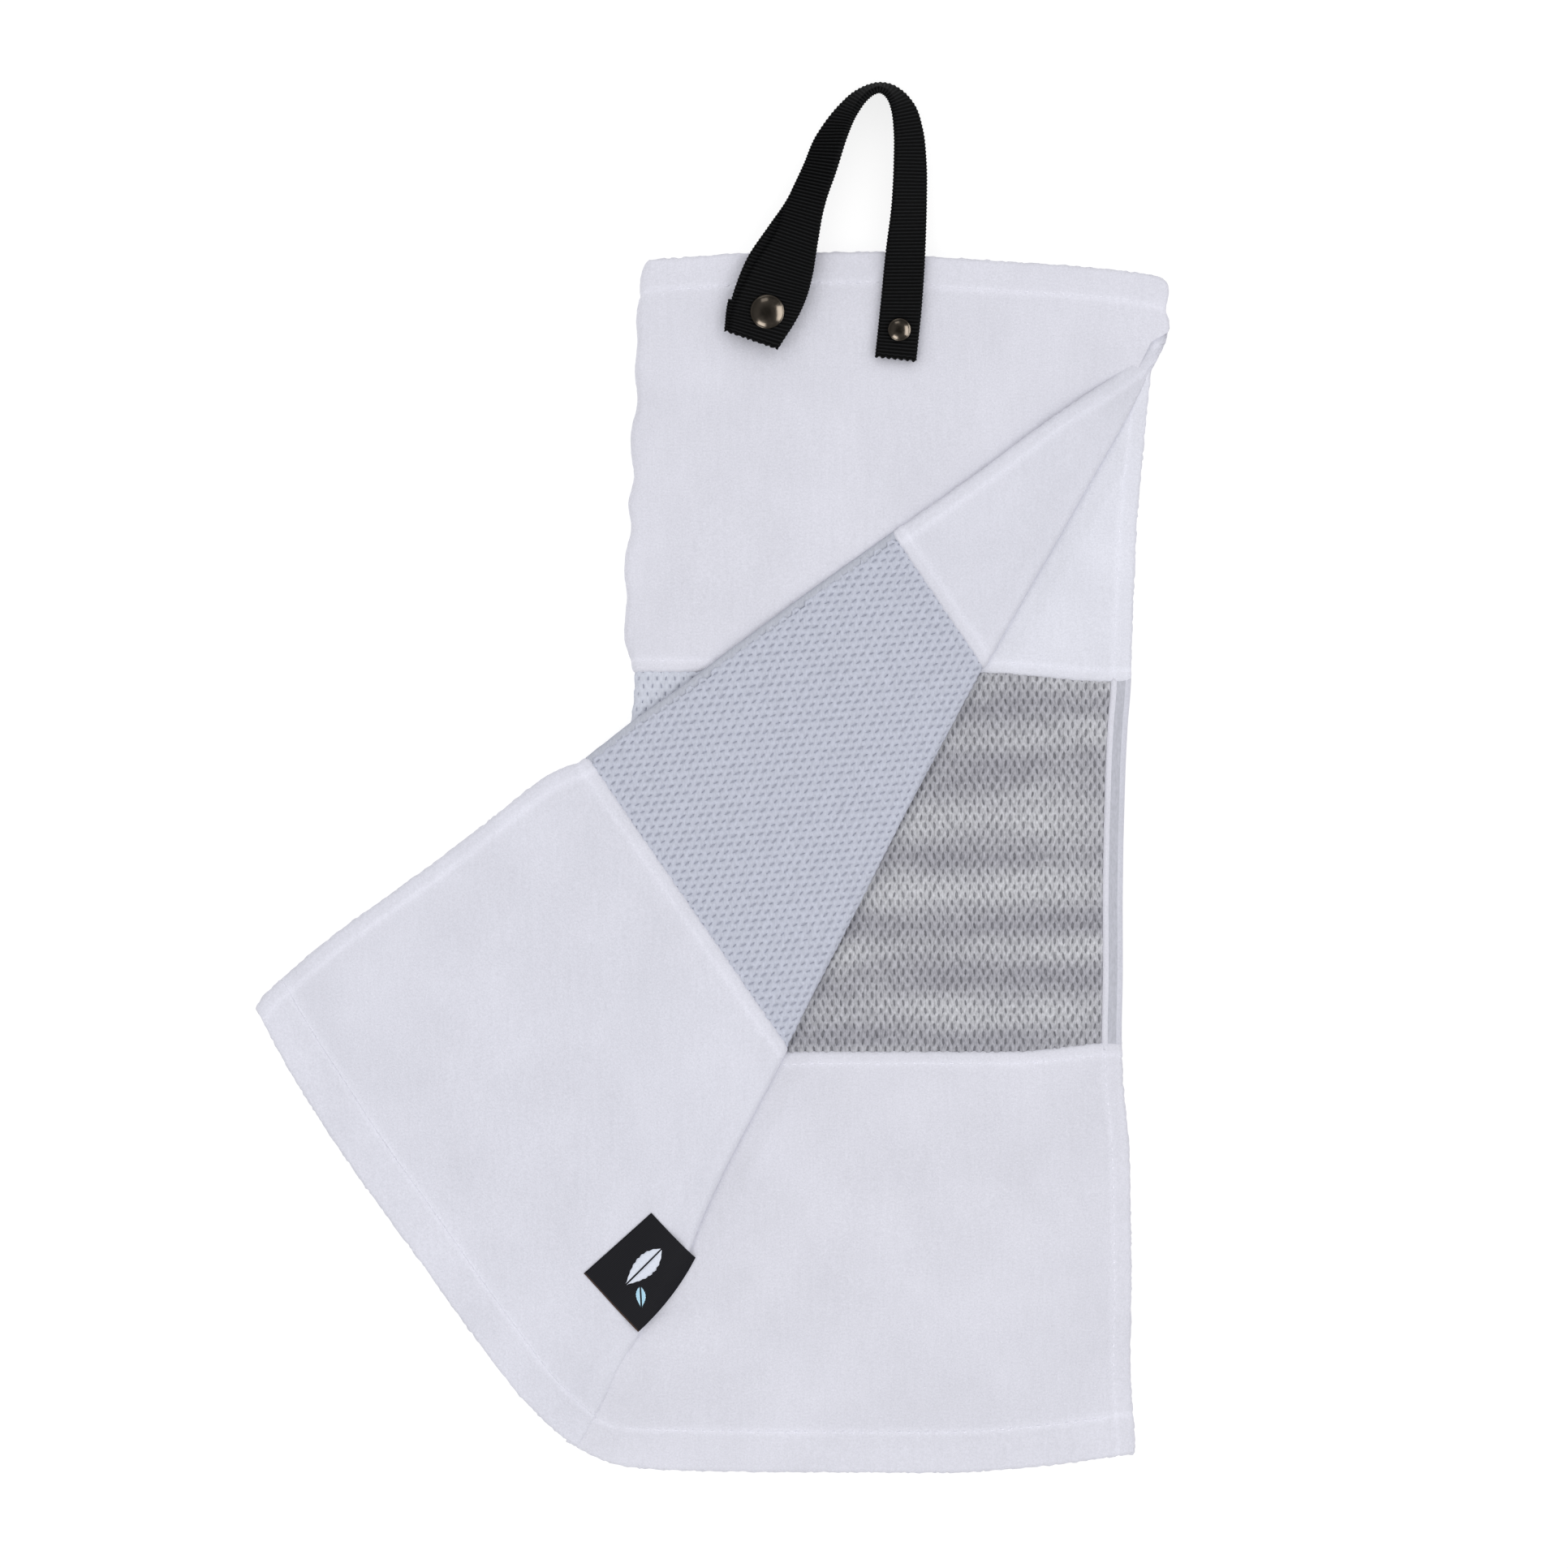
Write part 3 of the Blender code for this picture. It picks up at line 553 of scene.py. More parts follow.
def terry_material(name, colour, turn=0.0):
    made, tree, shader = nodes_of(name)
    fibres = noise_node(position(tree, (1, 1, 1), turn), 1.5, 3.0, 0.65)
    columns = noise_node(position(tree, (1, 0.12, 1), turn), 0.75, 2.0)
    clouds = noise_node(position(tree), 0.035, 3.0)
    factor = times(varied(fibres, 0.93, 1.06), varied(columns, 0.985, 1.015))
    factor = times(factor, varied(clouds, 0.965, 1.03))
    # Painted highlight on the stitch rows and painted shade at the thin rounded edges, read from the point
    # values.
    factor = times(factor, ramp(attribute(tree, "painted_ridge_light_rim_shade"), -1.0, 1.0, 0.86, 1.14))
    feed(shader, {
        "Base Color": shaded(colour, factor),
        "Normal": relief(fibres, 0.55, 0.35),
        "Roughness": 1.0,
        "Specular IOR Level": 0.12,
        "Sheen Weight": 0.25,
        "Sheen Roughness": 0.6,
    })
    return made


def net_material(name, colour, painted_shade_waves=0.0, turn=0.0):
    """Knitted mesh. A wave strength above zero adds painted shade and painted light in soft waves across the
    cloth, for its ripples and the ground seen through its holes.
    """
    made, tree, shader = nodes_of(name)
    yarn = noise_node(position(tree, (1, 0.35, 1), turn), 1.6, 2.0, 0.6)
    factor = varied(yarn, 0.90 - 0.9 * painted_shade_waves, 1.08 + 0.7 * painted_shade_waves)
    # Painted shade and painted light: darker and lighter soft waves mixed into the colour.
    if painted_shade_waves:
        swing = {"Distortion": 5.0, "Detail": 3.0, "Detail Scale": 0.9}
        wave = wave_node(position(tree, (0.2, 1, 1)), 0.0142, **swing)
        patches = noise_node(position(tree, (0.4, 1, 1), math.radians(-8)), 0.06, 3.0)
        wave = times(times(wave, 0.35), times(patches, 0.95), "ADD")
        light = ramp(wave, 0.45, 0.92, 0.0, 1.0)
        painted_wave_lit = [k * (1 + painted_shade_waves * share) for k, share in zip(colour, (0.80, 0.78, 0.66))]
        painted_wave_shaded = [k * (1 - painted_shade_waves * share) for k, share in zip(colour, (1.0, 1.05, 0.95))]
        inputs = {0: light, 6: (*painted_wave_shaded, 1), 7: (*painted_wave_lit, 1)}
        colour = node(tree, "ShaderNodeMix", inputs, data_type="RGBA").outputs[2]
    feed(shader, {
        "Base Color": shaded(colour, factor),
        "Normal": relief(yarn, 0.4, 0.2),
        "Roughness": 0.9,
        "Specular IOR Level": 0.2,
    })
    return made


def webbing_material(name, colour):
    made, tree, shader = nodes_of(name)
    yarn = noise_node(position(tree), 2.2, 2.0, 0.6)
    # Painted highlight on the rib crowns and painted shade in the valleys between them.
    painted_rib_light_and_shade = ramp(attribute(tree, "rib"), -0.2, 1.0, 0.3, 4.2)
    feed(shader, {
        "Base Color": shaded(colour, times(varied(yarn, 0.6, 1.5), painted_rib_light_and_shade)),
        "Normal": relief(yarn, 0.35, 0.12),
        "Roughness": varied(yarn, 0.6, 0.85),
        "Specular IOR Level": 0.02,
    })
    return made


def label_material(name, colour):
    """Satin woven ground: fine ribs across the label."""
    made, tree, shader = nodes_of(name)
    weave = wave_node(position(tree, turn=math.radians(-40)), 0.55, Distortion=0.3, Detail=1.0)
    feed(shader, {
        "Base Color": shaded(colour, ramp(weave, 0, 1, 0.75, 1.35)),
        "Normal": relief(weave, 0.3, 0.08),
        "Roughness": 0.7,
        "Specular IOR Level": 0.03,
    })
    return made


def thread_material(name, colour, roughness=0.7):
    made, tree, shader = nodes_of(name)
    twist = noise_node(position(tree), 3.0, 1.0)
    feed(shader, {
        "Base Color": shaded(colour, varied(twist, 0.92, 1.06)),
        "Roughness": roughness,
        "Sheen Weight": 0.1,
    })
    return made


def metal_material(name, colour):
    made, tree, shader = nodes_of(name)
    wear = noise_node(position(tree), 0.9, 4.0, 0.6)
    feed(shader, {
        "Base Color": shaded(colour, varied(wear, 0.85, 1.15)),
        "Roughness": ramp(wear, 0.35, 0.75, 0.16, 0.26),
        "Metallic": 1.0,
    })
    return made


TURN_ANGLE = 2 * math.atan2(ALONG[0], ALONG[1])
WHITE = terry_material("white_terry", (0.690, 0.690, 0.765))
# Painted light: a lighter copy of the white terry for the back leaf's upper terry.
WHITE_BACK_PAINTED_LIGHT = terry_material("white_terry_back_painted_light", (0.728, 0.734, 0.812))
WHITE_FLAP = terry_material("white_terry_turned", (0.690, 0.693, 0.772), TURN_ANGLE)
# Painted shade: the back leaf's mesh is the same yarn as the turned mesh, coloured darker for the dark ground
# seen through its holes.
GREY_BACK_PAINTED_SHADE = net_material("grey_mesh", (0.434, 0.439, 0.477), painted_shade_waves=0.22)
GREY_FLAP = net_material("grey_mesh_turned", (0.502, 0.524, 0.615), turn=TURN_ANGLE)
# Painted light: a lighter copy of the mesh colour for the front leaf's strip, against the shade beside the
# turned part's free edge.
GREY_FRONT_PAINTED_LIGHT = net_material("grey_mesh_front_painted_light", (0.566, 0.590, 0.672))
BLACK = webbing_material("black_webbing", (0.0026, 0.0027, 0.0029))
LABEL = label_material("label_ground", (0.0100, 0.0100, 0.0125))
LABEL_EDGE = label_material("label_selvedge", (0.060, 0.038, 0.030))
MOTIF = thread_material("label_motif", (0.60, 0.64, 0.74), 0.5)
MOTIF_BLUE = thread_material("label_motif_blue", (0.30, 0.55, 0.70), 0.5)
THREAD = thread_material("white_thread", (0.74, 0.74, 0.82))
METAL = metal_material("gunmetal", (0.024, 0.0204, 0.0168))
# Painted shade: dark bottoms of the back leaf's mesh holes, for the shadow seen through them.
BACK_HOLE_PAINTED_SHADE = net_material("grey_mesh_back_hole_painted_shade", (0.230, 0.233, 0.257), painted_shade_waves=0.18)
# Painted shade: bottoms of the holes of the turned and the front mesh.
HOLE_PAINTED_SHADE = net_material("grey_mesh_turned_hole_painted_shade", (0.398, 0.415, 0.493), turn=TURN_ANGLE)
GREY_HEM = net_material("grey_mesh_hem", (0.46, 0.466, 0.525))
HEM_EDGE = terry_material("mesh_hem_edge", (0.60, 0.605, 0.68))
# Darker than the turned mesh: partly the denser doubled hem, partly painted shade where the free edge curves
# down.
EDGE_GREY = net_material("grey_mesh_free_edge", (0.44, 0.458, 0.525), turn=TURN_ANGLE)


# ---- terry

STEP = 0.98
# Where the search for the cloth point between two outlines starts
MIDDLE = 60.0
SNAP_FLANGE = 5.6
RIVET_FLANGE = 4.6
# A distance far from any hem
NO_HEM = 60.0


def recess(a, b):
    """How far the underside is let in, round the flanges of the snap and the rivet."""
    total = 0.0
    for centre, radius in ((SNAP, SNAP_FLANGE), (RIVET, RIVET_FLANGE)):
        away = np.hypot(a - centre[0], b - centre[1])
        total = total + 1.1 * (1 - smooth(radius, radius + 1.5, away))
    return total


def leaf_rows(low, high, stitched_low, stitched_high, hem=""):
    """Places along the cloth, as shares from low to high, with the seams' and the hem's fine places."""
    length = high - low
    fine = [TOP_STITCH] * stitched_low + [length - TOP_STITCH] * stitched_high
    fine += {"top": [length - TOP_HEM], "bottom": [BOTTOM_HEM], "": []}[hem]
    return stops(length, STEP, fine, HEM / 2, HEM / 2) / length


def doubling(distance, hem):
    """Extra thickness where the cloth is turned in, this far inside its edge."""
    return (HEM - TERRY) * (1 - smooth(hem - 0.5, hem + 0.5, distance))


def leaf_thickness(to_low, to_high, to_side, hem):
    """Thickness of a terry panel from the distances to its lower, upper and outer edge."""
    if hem == "top":
        thick = TERRY + doubling(to_high, TOP_HEM)
        rows = [to_high - TOP_HEM, to_low - TOP_STITCH]
    else:
        thick = TERRY + doubling(to_low, BOTTOM_HEM)
        rows = [to_low - BOTTOM_HEM, to_high - TOP_STITCH]
    if to_side is not None:
        thick = thick + doubling(to_side, SIDE_HEM) + 0.6 * groove(to_side - SIDE_HEM)
    for row in rows:
        thick = thick + groove(row)
    pressed = sum(bump(row, 1.1) for row in rows)
    return thick * rounding(to_low, HEM / 2) * rounding(to_high, HEM / 2), pressed


def back_terry(name, hem):
    """Upper or lower terry of the back leaf, from its side hem to the fold's underside."""
    top = hem == "top"
    v = leaf_rows(*((UPPER_SEAM, TOP_Y) if top else (-236.0, LOWER_SEAM)), top, not top, hem)
    width = 182
    u = stops(width, STEP, (width - SIDE_HEM,), 0 if top else HEM / 2, HEM / 2) / width
    u, v = np.meshgrid(u, v)
    x = MIDDLE + 0 * u
    for _ in range(6):
        low = back_upper_seam(x) if top else bottom_edge(x)
        high = top_edge(x) if top else back_lower_seam(x)
        y = low + v * (high - low)
        left = fold_centre(y)
        if not top:
            left = left - 9.0 * (1 - smooth(-226, -200, y))
        x = left + u * (right_edge(y) - left)
    to_side = right_edge(y) - x
    thick, pressed = leaf_thickness(y - low, high - y, to_side, hem)
    thick = thick * rounding(to_side, HEM / 2)
    # A painted highlight along the side hem's stitch row.
    pressed = pressed + 0.7 * bump(to_side - SIDE_HEM, 1.0)
    if not top:
        thick = thick * np.where(y < FOLD_LOW_Y, rounding(x - left, HEM / 2), 1)
    # The back leaf's upper terry gets the lighter copy, painted light.
    finish = WHITE_BACK_PAINTED_LIGHT if top else WHITE
    return cloth(name, back_leaf, x, y, thick, pressed, finish, 31, recess(x, y))


def front_limit(y):
    """Cloth coordinate where the front leaf meets the roll over the turn line, or its own free edge."""
    s, _ = to_turn(turn_x(y), y)
    share = pleat(s)
    edge = turn_x(y) + (turn_edge(s) - FOLD_RADIUS * share - TERRY / 2 - 1.5) / RIGHT[0]
    past_turn = smooth(TURN_TOP_Y - 5, TURN_TOP_Y - 0.5, y)
    edge = edge * (1 - past_turn) + front_corner_edge(y) * past_turn
    return np.minimum(edge, front_corner_edge(y)) - fold_centre(y) + math.pi * FOLD_RADIUS


def front_terry(name, hem):
    """The fold and the front leaf's upper or lower terry, up to the roll over the turn line."""
    top = hem == "top"
    mean_low, mean_high = (UPPER_SEAM, TOP_Y) if top else (FOLD_LOW_Y, LOWER_SEAM)
    v = leaf_rows(mean_low, mean_high, top, not top, hem)
    width = 187 if top else 66
    u, v = np.meshgrid(stops(width, STEP, (), 0, HEM / 2) / width, v)
    x = MIDDLE + 0 * u
    for _ in range(5):
        low = mean_low + 0 * x
        high = top_edge(x) if top else LOWER_SEAM + 0 * x
        y = low + v * (high - low)
        limit = front_limit(y)
        a = u * limit
        x = front_leaf(a, y)[..., 0]
    to_hem = y - low + (0 if top else NO_HEM)
    thick, pressed = leaf_thickness(to_hem, high - y, None, hem)
    free = smooth(TURN_TOP_Y - 1, TURN_TOP_Y + 3, y)
    thick = thick * (1 - free + free * rounding(limit - a, HEM / 2))
    thick = thick + free * groove(limit - a - SIDE_HEM) * 0.6
    return cloth(name, front_leaf, a, y, thick, pressed, WHITE, 57)


def flap_columns(widest):
    """Places across the turned cloth: closest round the roll, and rounded at the free edge."""
    roll = np.linspace(0, 2 * FOLD_RADIUS * math.pi, 19)
    rest = stops(widest, STEP, (widest - SIDE_STITCH,), 0, HEM / 2)
    return np.concatenate([roll, rest[rest > roll[-1] + 0.5]]) / widest


def flap_terry(name, part):
    """The roll over the turn line and the turned-back terry, to its free edge. part is top, middle or hem."""
    top, hem = part == "top", part == "hem"
    if top:
        v = leaf_rows(UPPER_SEAM, FLAP_TOP, True, False)
    elif hem:
        v = stops(BOTTOM_HEM, STEP, (BOTTOM_HEM,), HEM / 2) / BOTTOM_HEM
    else:
        v = leaf_rows(-220.0, LOWER_SEAM, False, True)
    u, v = np.meshgrid(flap_columns({"top": 60, "middle": 150, "hem": 180}[part]), v)
    a = MIDDLE + 0 * u
    for _ in range(8):
        low = UPPER_SEAM + 0 * a if top else flap_bottom(a) + (0 if hem else BOTTOM_HEM)
        high = flap_bottom(a) + BOTTOM_HEM if hem else (FLAP_TOP if top else LOWER_SEAM) + 0 * a
        b = low + v * (high - low)
        start = roll_start(b)
        a = start + u * (front_free_edge(b) - start)
    to_side = front_free_edge(b) - a
    to_bottom = b - flap_bottom(a)
    doubled = np.maximum(doubling(to_side, SIDE_HEM), doubling(to_bottom, BOTTOM_HEM))
    rows = [to_side - SIDE_STITCH]
    rows += [b - low - TOP_STITCH] if top else [to_bottom - BOTTOM_HEM, LOWER_SEAM - b - TOP_STITCH]
    thick = TERRY + doubled + sum(groove(row) for row in rows)
    if top:
        thick = thick * rounding(b - low, HEM / 2) * rounding(high - b, 2.2) * tip_share(to_turn(a, b)[0])
    else:
        thick = thick * rounding(to_bottom, HEM / 2) * rounding(LOWER_SEAM - b, HEM / 2)
    pressed = sum(bump(row, 1.1) for row in rows)
    return cloth(name, flap, a, b, thick * rounding(to_side, 2.4), pressed, WHITE_FLAP, 83)


# ---- mesh bands

HOLE_PITCH = 3.06
NET_MARGIN = 1.8
FREE_HEM = 3.2
SIDE_HEM_STRIP = 7.0
HOLE = np.array([(0.0, 1.3), (-0.4, 0.62), (-0.4, -0.62), (0.0, -1.3), (0.4, -0.62), (0.4, 0.62)])


def net(name, surface, inside, low, high, finish, shade, hole_scale, seed):
    """Knitted mesh on this surface: a hexagonal net of deep holes, longer along the cloth.

    inside says which cloth points the net covers; low and high are the corners of the area to fill.
    Each hole is a closed dimple whose bottom has the second finish, shade: a dark sheet of painted shade for
    the shadow seen through an open hole.
    """
    row_pitch = HOLE_PITCH * math.sqrt(3) / 2
    columns = np.arange(math.floor(low[0] / HOLE_PITCH), math.ceil(high[0] / HOLE_PITCH) + 1)
    rows = np.arange(math.floor(low[1] / row_pitch), math.ceil(high[1] / row_pitch) + 1)
    column, row = np.meshgrid(columns, rows)
    centre = np.stack([(column + 0.5 * (row % 2)) * HOLE_PITCH, row * row_pitch], -1).reshape(-1, 2)
    centre = centre[inside(centre[:, 0], centre[:, 1])]
    around = np.radians(90 + 60 * np.arange(6))
    outer = centre[:, None] + HOLE_PITCH / math.sqrt(3) * np.stack([np.cos(around), np.sin(around)], -1)
    key = np.round(centre * 10).astype(np.int64)
    uneven = scatter(key[:, 0], key[:, 1], seed)
    lean = 0.2 * scatter(key[:, 0], key[:, 1], seed + 5)
    shape = HOLE * hole_scale
    hole = centre[:, None] + shape * (1 + 0.2 * uneven[:, None, None])
    hole[:, :, 0] += lean[:, None] * shape[:, 1]
    flat, shared = np.unique(np.round(outer.reshape(-1, 2), 3), axis=0, return_inverse=True)
    shared = shared.reshape(-1, 6)
    key = np.round(flat * 7).astype(np.int64)
    knot = 0.1 * scatter(key[:, 0], key[:, 1], seed + 1)
    lip = hole.reshape(-1, 2)
    floor = (hole * 0.82 + centre[:, None] * 0.18).reshape(-1, 2)
    parts = []
    for side in (1, -1):
        for place, height in ((flat, MESH / 2 + knot), (lip, MESH / 2 - 0.25), (floor, MESH / 2 - 0.62)):
            middle, up = surface(place[:, 0], place[:, 1]), normals(surface, place[:, 0], place[:, 1])
            parts.append(middle + up * (side * height * np.ones(len(place)))[:, None])
    rim = len(flat) + np.arange(len(centre) * 6).reshape(-1, 6)
    low_rim = rim + len(centre) * 6
    half = len(flat) + len(centre) * 12
    after, rim_after, low_after = np.roll(shared, -1, 1), np.roll(rim, -1, 1), np.roll(low_rim, -1, 1)
    quads = [
        np.stack([shared, after, rim_after, rim], -1).reshape(-1, 4),
        np.stack([rim, rim_after, low_after, low_rim], -1).reshape(-1, 4),
    ]
    quads += [quad[:, ::-1] + half for quad in quads]
    edge = np.stack([shared, after], -1).reshape(-1, 2)
    _, first, count = np.unique(np.sort(edge, 1), axis=0, return_index=True, return_counts=True)
    rest = edge[first[count == 1]]
    quads.append(np.stack([rest[:, 1], rest[:, 0], rest[:, 0] + half, rest[:, 1] + half], -1))
    quads = np.concatenate(quads)
    floors = np.concatenate([low_rim, low_rim[:, ::-1] + half])
    kinds = [np.zeros(len(quads)), np.ones(len(floors))]
    points = grounded(np.concatenate(parts))
    obj = new_object(name, points, [quads, floors], finish, shade, kinds=kinds)
    remember_cut(obj, flat[:, 0], flat[:, 1], len(centre) * HOLE_PITCH * row_pitch)
    return obj


def hem_strip(name, surface, edge, width, low, high, profile, finishes, kinds=None, seed=71):
    """A narrow doubled hem along a panel's edge. profile lists (share across, thickness).

    kinds gives the finish of each stretch of the profile.
    """
    shares, thick = np.array(profile).T
    share, b = np.meshgrid(shares, stops(high - low, 1.2) + low)
    a = edge(b) - width * (1 - share)
    half = np.broadcast_to(thick / 2, a.shape) + 0.07 * noise(a, b, 1.4, seed) * (thick > 0.5)
    points = grounded(slab(surface(a, b), normals(surface, a, b), half, half))
    faces = slab_faces(*a.shape)
    across = np.tile(kinds or [0], len(a) - 1)
    face_kinds = [across, across, np.full(len(faces[2]), across[-1])]
    obj = new_object(name, points, faces, *finishes, kinds=face_kinds)
    remember_cut(obj, a, b, cell_area(a, b))
    return obj


# ---- stitches

STITCH = 2.3
STITCH_GAP = 0.9
STITCH_RADIUS = 0.30
# How far the front leaf's cloth coordinate is ahead of X at the top hem
FOLD_LEAD = 33.0


def stitch_row(surface, path, height):
    """Stitches along a path of cloth points: short tapered lengths of thread, half sunk in the pile."""
    run = np.concatenate([[0], np.cumsum(np.hypot(*np.diff(path, axis=1)))])
    starts = np.arange(0.5, run[-1] - STITCH, STITCH + STITCH_GAP)
    shares = np.linspace(0, 1, 5)
    a, b = (np.interp(starts[:, None] + STITCH * shares, run, places) for places in path)
    up = normals(surface, a, b)
    arch = (2 * shares - 1) ** 2
    centre = surface(a, b) + up * (height - 0.45 * arch)[None, :, None]
    along = np.gradient(centre, axis=1)
    side = np.cross(along / np.linalg.norm(along, axis=-1, keepdims=True), up)
    radius = STITCH_RADIUS * np.sqrt(np.clip(1.04 - arch, 0, 1))
    turns = np.radians(60 * np.arange(6))[:, None]
    ring = side[:, :, None] * np.cos(turns) + up[:, :, None] * np.sin(turns)
    points = centre[:, :, None] + ring * radius[None, :, None, None]
    index = np.arange(len(starts) * 5 * 6).reshape(-1, 5, 6)
    after = np.roll(index, -1, 2)
    sides = np.stack([index[:, :-1], after[:, :-1], after[:, 1:], index[:, 1:]], -1).reshape(-1, 4)
    ends = np.concatenate([index[:, 0, ::-1], index[:, -1]])
    return grounded(points.reshape(-1, 3)), sides, ends


# ---- strap

PLY = 1.5
FOLDED = 2.4
RIB = 1.2
APEX = 11
# From the snap end over the top to the rivet end: outer edge X, Y, inner edge X, Y, outer and inner height
LOOP = np.array((
    (5.4, 152.8, 22.9, 146.7, 11.3, 11.3),
    (6.8, 163.3, 30.1, 158.5, 11.3, 11.3),
    (9.5, 171.5, 33.0, 165.5, 11.3, 11.3),
    (11.8, 176.9, 34.3, 170.3, 11.2, 11.3),
    (19.6, 188.9, 36.5, 183.3, 10.4, 11.2),
    (24.9, 196.7, 38.2, 193.1, 8.6, 11.4),
    (31.5, 209.7, 42.6, 207.2, 5.4, 12.6),
    (36.3, 220.3, 46.3, 219.4, 3.6, 13.2),
    (44.3, 230.8, 49.6, 227.3, 1.9, 13.5),
    (49.9, 235.6, 52.8, 231.9, 1.1, 13.7),
    (54.2, 237.6, 55.2, 233.9, 0.8, 13.8),
    (57.6, 238.3, 57.3, 234.6, 0.7, 13.8),
    (61.3, 237.8, 59.2, 233.8, 0.8, 13.8),
    (65.2, 235.6, 60.8, 231.8, 1.1, 13.7),
    (69.1, 231.2, 62.0, 228.0, 1.9, 13.5),
    (72.0, 223.1, 62.7, 220.8, 3.0, 13.1),
    (73.4, 211.9, 62.6, 211.1, 3.9, 12.6),
    (73.7, 199.2, 61.9, 198.6, 5.0, 11.6),
    (73.2, 180.0, 59.6, 180.0, 7.9, 8.8),
    (72.1, 162.5, 57.9, 162.5, 8.1, 8.1),
    (70.1, 142.8, 56.0, 144.4, 8.1, 8.1),
))
# How far the lower half shows past the outer edge, and the webbing's thickness, at the same places
folded_places = len(LOOP) - 6
SHOWN = np.array([0.7, 1.7, 2.8, 3.4, 3.2, 0.6] + [0.0] * folded_places)
WEBBING = np.array([PLY] * 5 + [2.0] + [FOLDED] * folded_places)


def ribbon(start, stop, half="upper", across=25, step=0.2):
    """Webbing from one place along the loop to another, ribbed across. Ends at the loop's own ends are cut.

    The strap is folded lengthwise. half is upper for the main ply, lower for the half that shows beside it
    near the snap, and under for the ply beneath the snap. Gives its points, its faces and how high each
    point lies on its rib, from -1 to 1.
    """
    centres = (LOOP[:, (0, 1, 4)] + LOOP[:, (2, 3, 5)]) / 2
    run = np.concatenate([[0], np.cumsum(np.linalg.norm(np.diff(centres, axis=0), axis=1))])
    start, stop = (run[k] if isinstance(k, int) else k for k in (start, stop))
    t = np.linspace(start, stop, round((stop - start) / step))
    *edges, shown, thickness = (curve(*zip(run, values))(t) for values in (*LOOP.T, SHOWN, WEBBING))
    edges = np.stack(edges, -1)
    outer, inner = edges[:, (0, 1, 4)], edges[:, (2, 3, 5)]
    side = (inner - outer) / np.linalg.norm(inner - outer, axis=1)[:, None]
    drop, thick, phase = {
        "upper": (0.0, thickness[:, None], 0.0), "lower": (1.35, 1.2, 0.9), "under": (PLY + 0.1, 1.3, 0.4)
    }[half]
    if half == "upper":
        outer = outer + side * np.maximum(shown, 0)[:, None]
    elif half == "under":
        outer, inner = outer - side * 1.0, inner - side * 0.3
    width = np.linalg.norm(inner - outer, axis=1)[:, None]
    share = np.linspace(0, 1, across)
    w = 0.65 * share + 0.35 * (1 - np.cos(np.pi * share)) / 2
    surface = outer[:, None] + (inner - outer)[:, None] * w[None, :, None]
    surface[..., 2] -= drop
    inside = np.minimum(w, 1 - w)[None] * width
    along = np.gradient(surface, axis=0)
    along /= np.linalg.norm(along, axis=-1, keepdims=True)
    up = np.cross(side[:, None] + 0 * along, along)
    up /= np.linalg.norm(up, axis=-1, keepdims=True)
    wave = np.cos(2 * math.pi * (t[:, None] / RIB + 0.02 * noise(inside, t[:, None], 4, 5)))
    to_end = np.minimum(t - run[0], run[-1] - t)[:, None]
    end_sign = np.where(t < run[APEX], 1.0, -1.0)[:, None]
    tooth = 0.4 * np.cos(2 * math.pi * (w[None] * width / 2.1 + phase)) * bump(to_end, 1.1) * end_sign
    bulge = 0.13 * wave * (2 * w - 1)[None]
    surface = surface + along * tooth[..., None] + side[:, None] * bulge[..., None]
    half_thick = thick / 2 * rounding(inside, 0.9) * rounding(to_end + 0.25, 0.6)
    half_thick = half_thick + 0.17 * wave * np.clip(inside, 0, 1)
    points = slab(surface, up, half_thick, half_thick)
    faces = np.concatenate(slab_faces(len(t), across))
    return points, faces, np.tile((wave + 0 * inside).reshape(-1), 2)


def webbing(name, cad_node, *ribbons):
    obj = joined(name, [ribbon[:2] for ribbon in ribbons], BLACK)
    point_values(obj, "rib", np.concatenate([rib for _, _, rib in ribbons]))
    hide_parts(cad_node)
    return obj


def build_strap():
    plies = ribbon(0, APEX), ribbon(6.0, 52.0, "lower"), ribbon(0.0, 12.4, "under")
    snap_leg = webbing("strap_snap_webbing", "strap_snap_leg", *plies)
    rivet_leg = webbing("strap_rivet_webbing", "strap_rivet_leg", ribbon(APEX, len(LOOP) - 1))
    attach(rivet_leg, "towel")
    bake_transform(snap_leg)


# ---- snap fastener and rivet


def lathe(name, profile, centre, segments=96):
    """A turned metal piece on the vertical through centre; profile lists (radius, z) from the crown down."""
    turns = 2 * math.pi * np.arange(segments) / segments
    radii, heights = np.array(profile).T
    xy = np.array(centre) + radii[:, None, None] * np.stack([np.cos(turns), np.sin(turns)], -1)[None]
    z = np.broadcast_to(heights[:, None, None], (len(radii), segments, 1))
    index = np.arange(len(radii) * segments).reshape(len(radii), segments)
    after = np.roll(index, -1, 1)
    sides = np.stack([index[:-1], index[1:], after[1:], after[:-1]], -1).reshape(-1, 4)
    caps = np.concatenate([index[:1], index[-1:, ::-1]])
    return new_object(name, np.concatenate([xy, z], -1).reshape(-1, 3), [sides, caps], METAL)


def cap_profile(radius, low, rim, high):
    """A domed cap with a rolled rim over a flat underside."""
    sphere = (radius**2 + (high - rim) ** 2) / (2 * (high - rim))
    flat = radius - 0.5
    angles = np.linspace(0.01, math.asin(flat / sphere), 22)
    crown = [(sphere * math.sin(k), high - sphere * (1 - math.cos(k))) for k in angles]
    roll = (crown[-1][1] - low) / 2
    angles = np.linspace(0.35, math.pi, 12)
    rolled = [(flat + 0.5 * math.sin(k), low + roll + roll * math.cos(k)) for k in angles]
    return crown + rolled + [(radius - 1.4, low)]


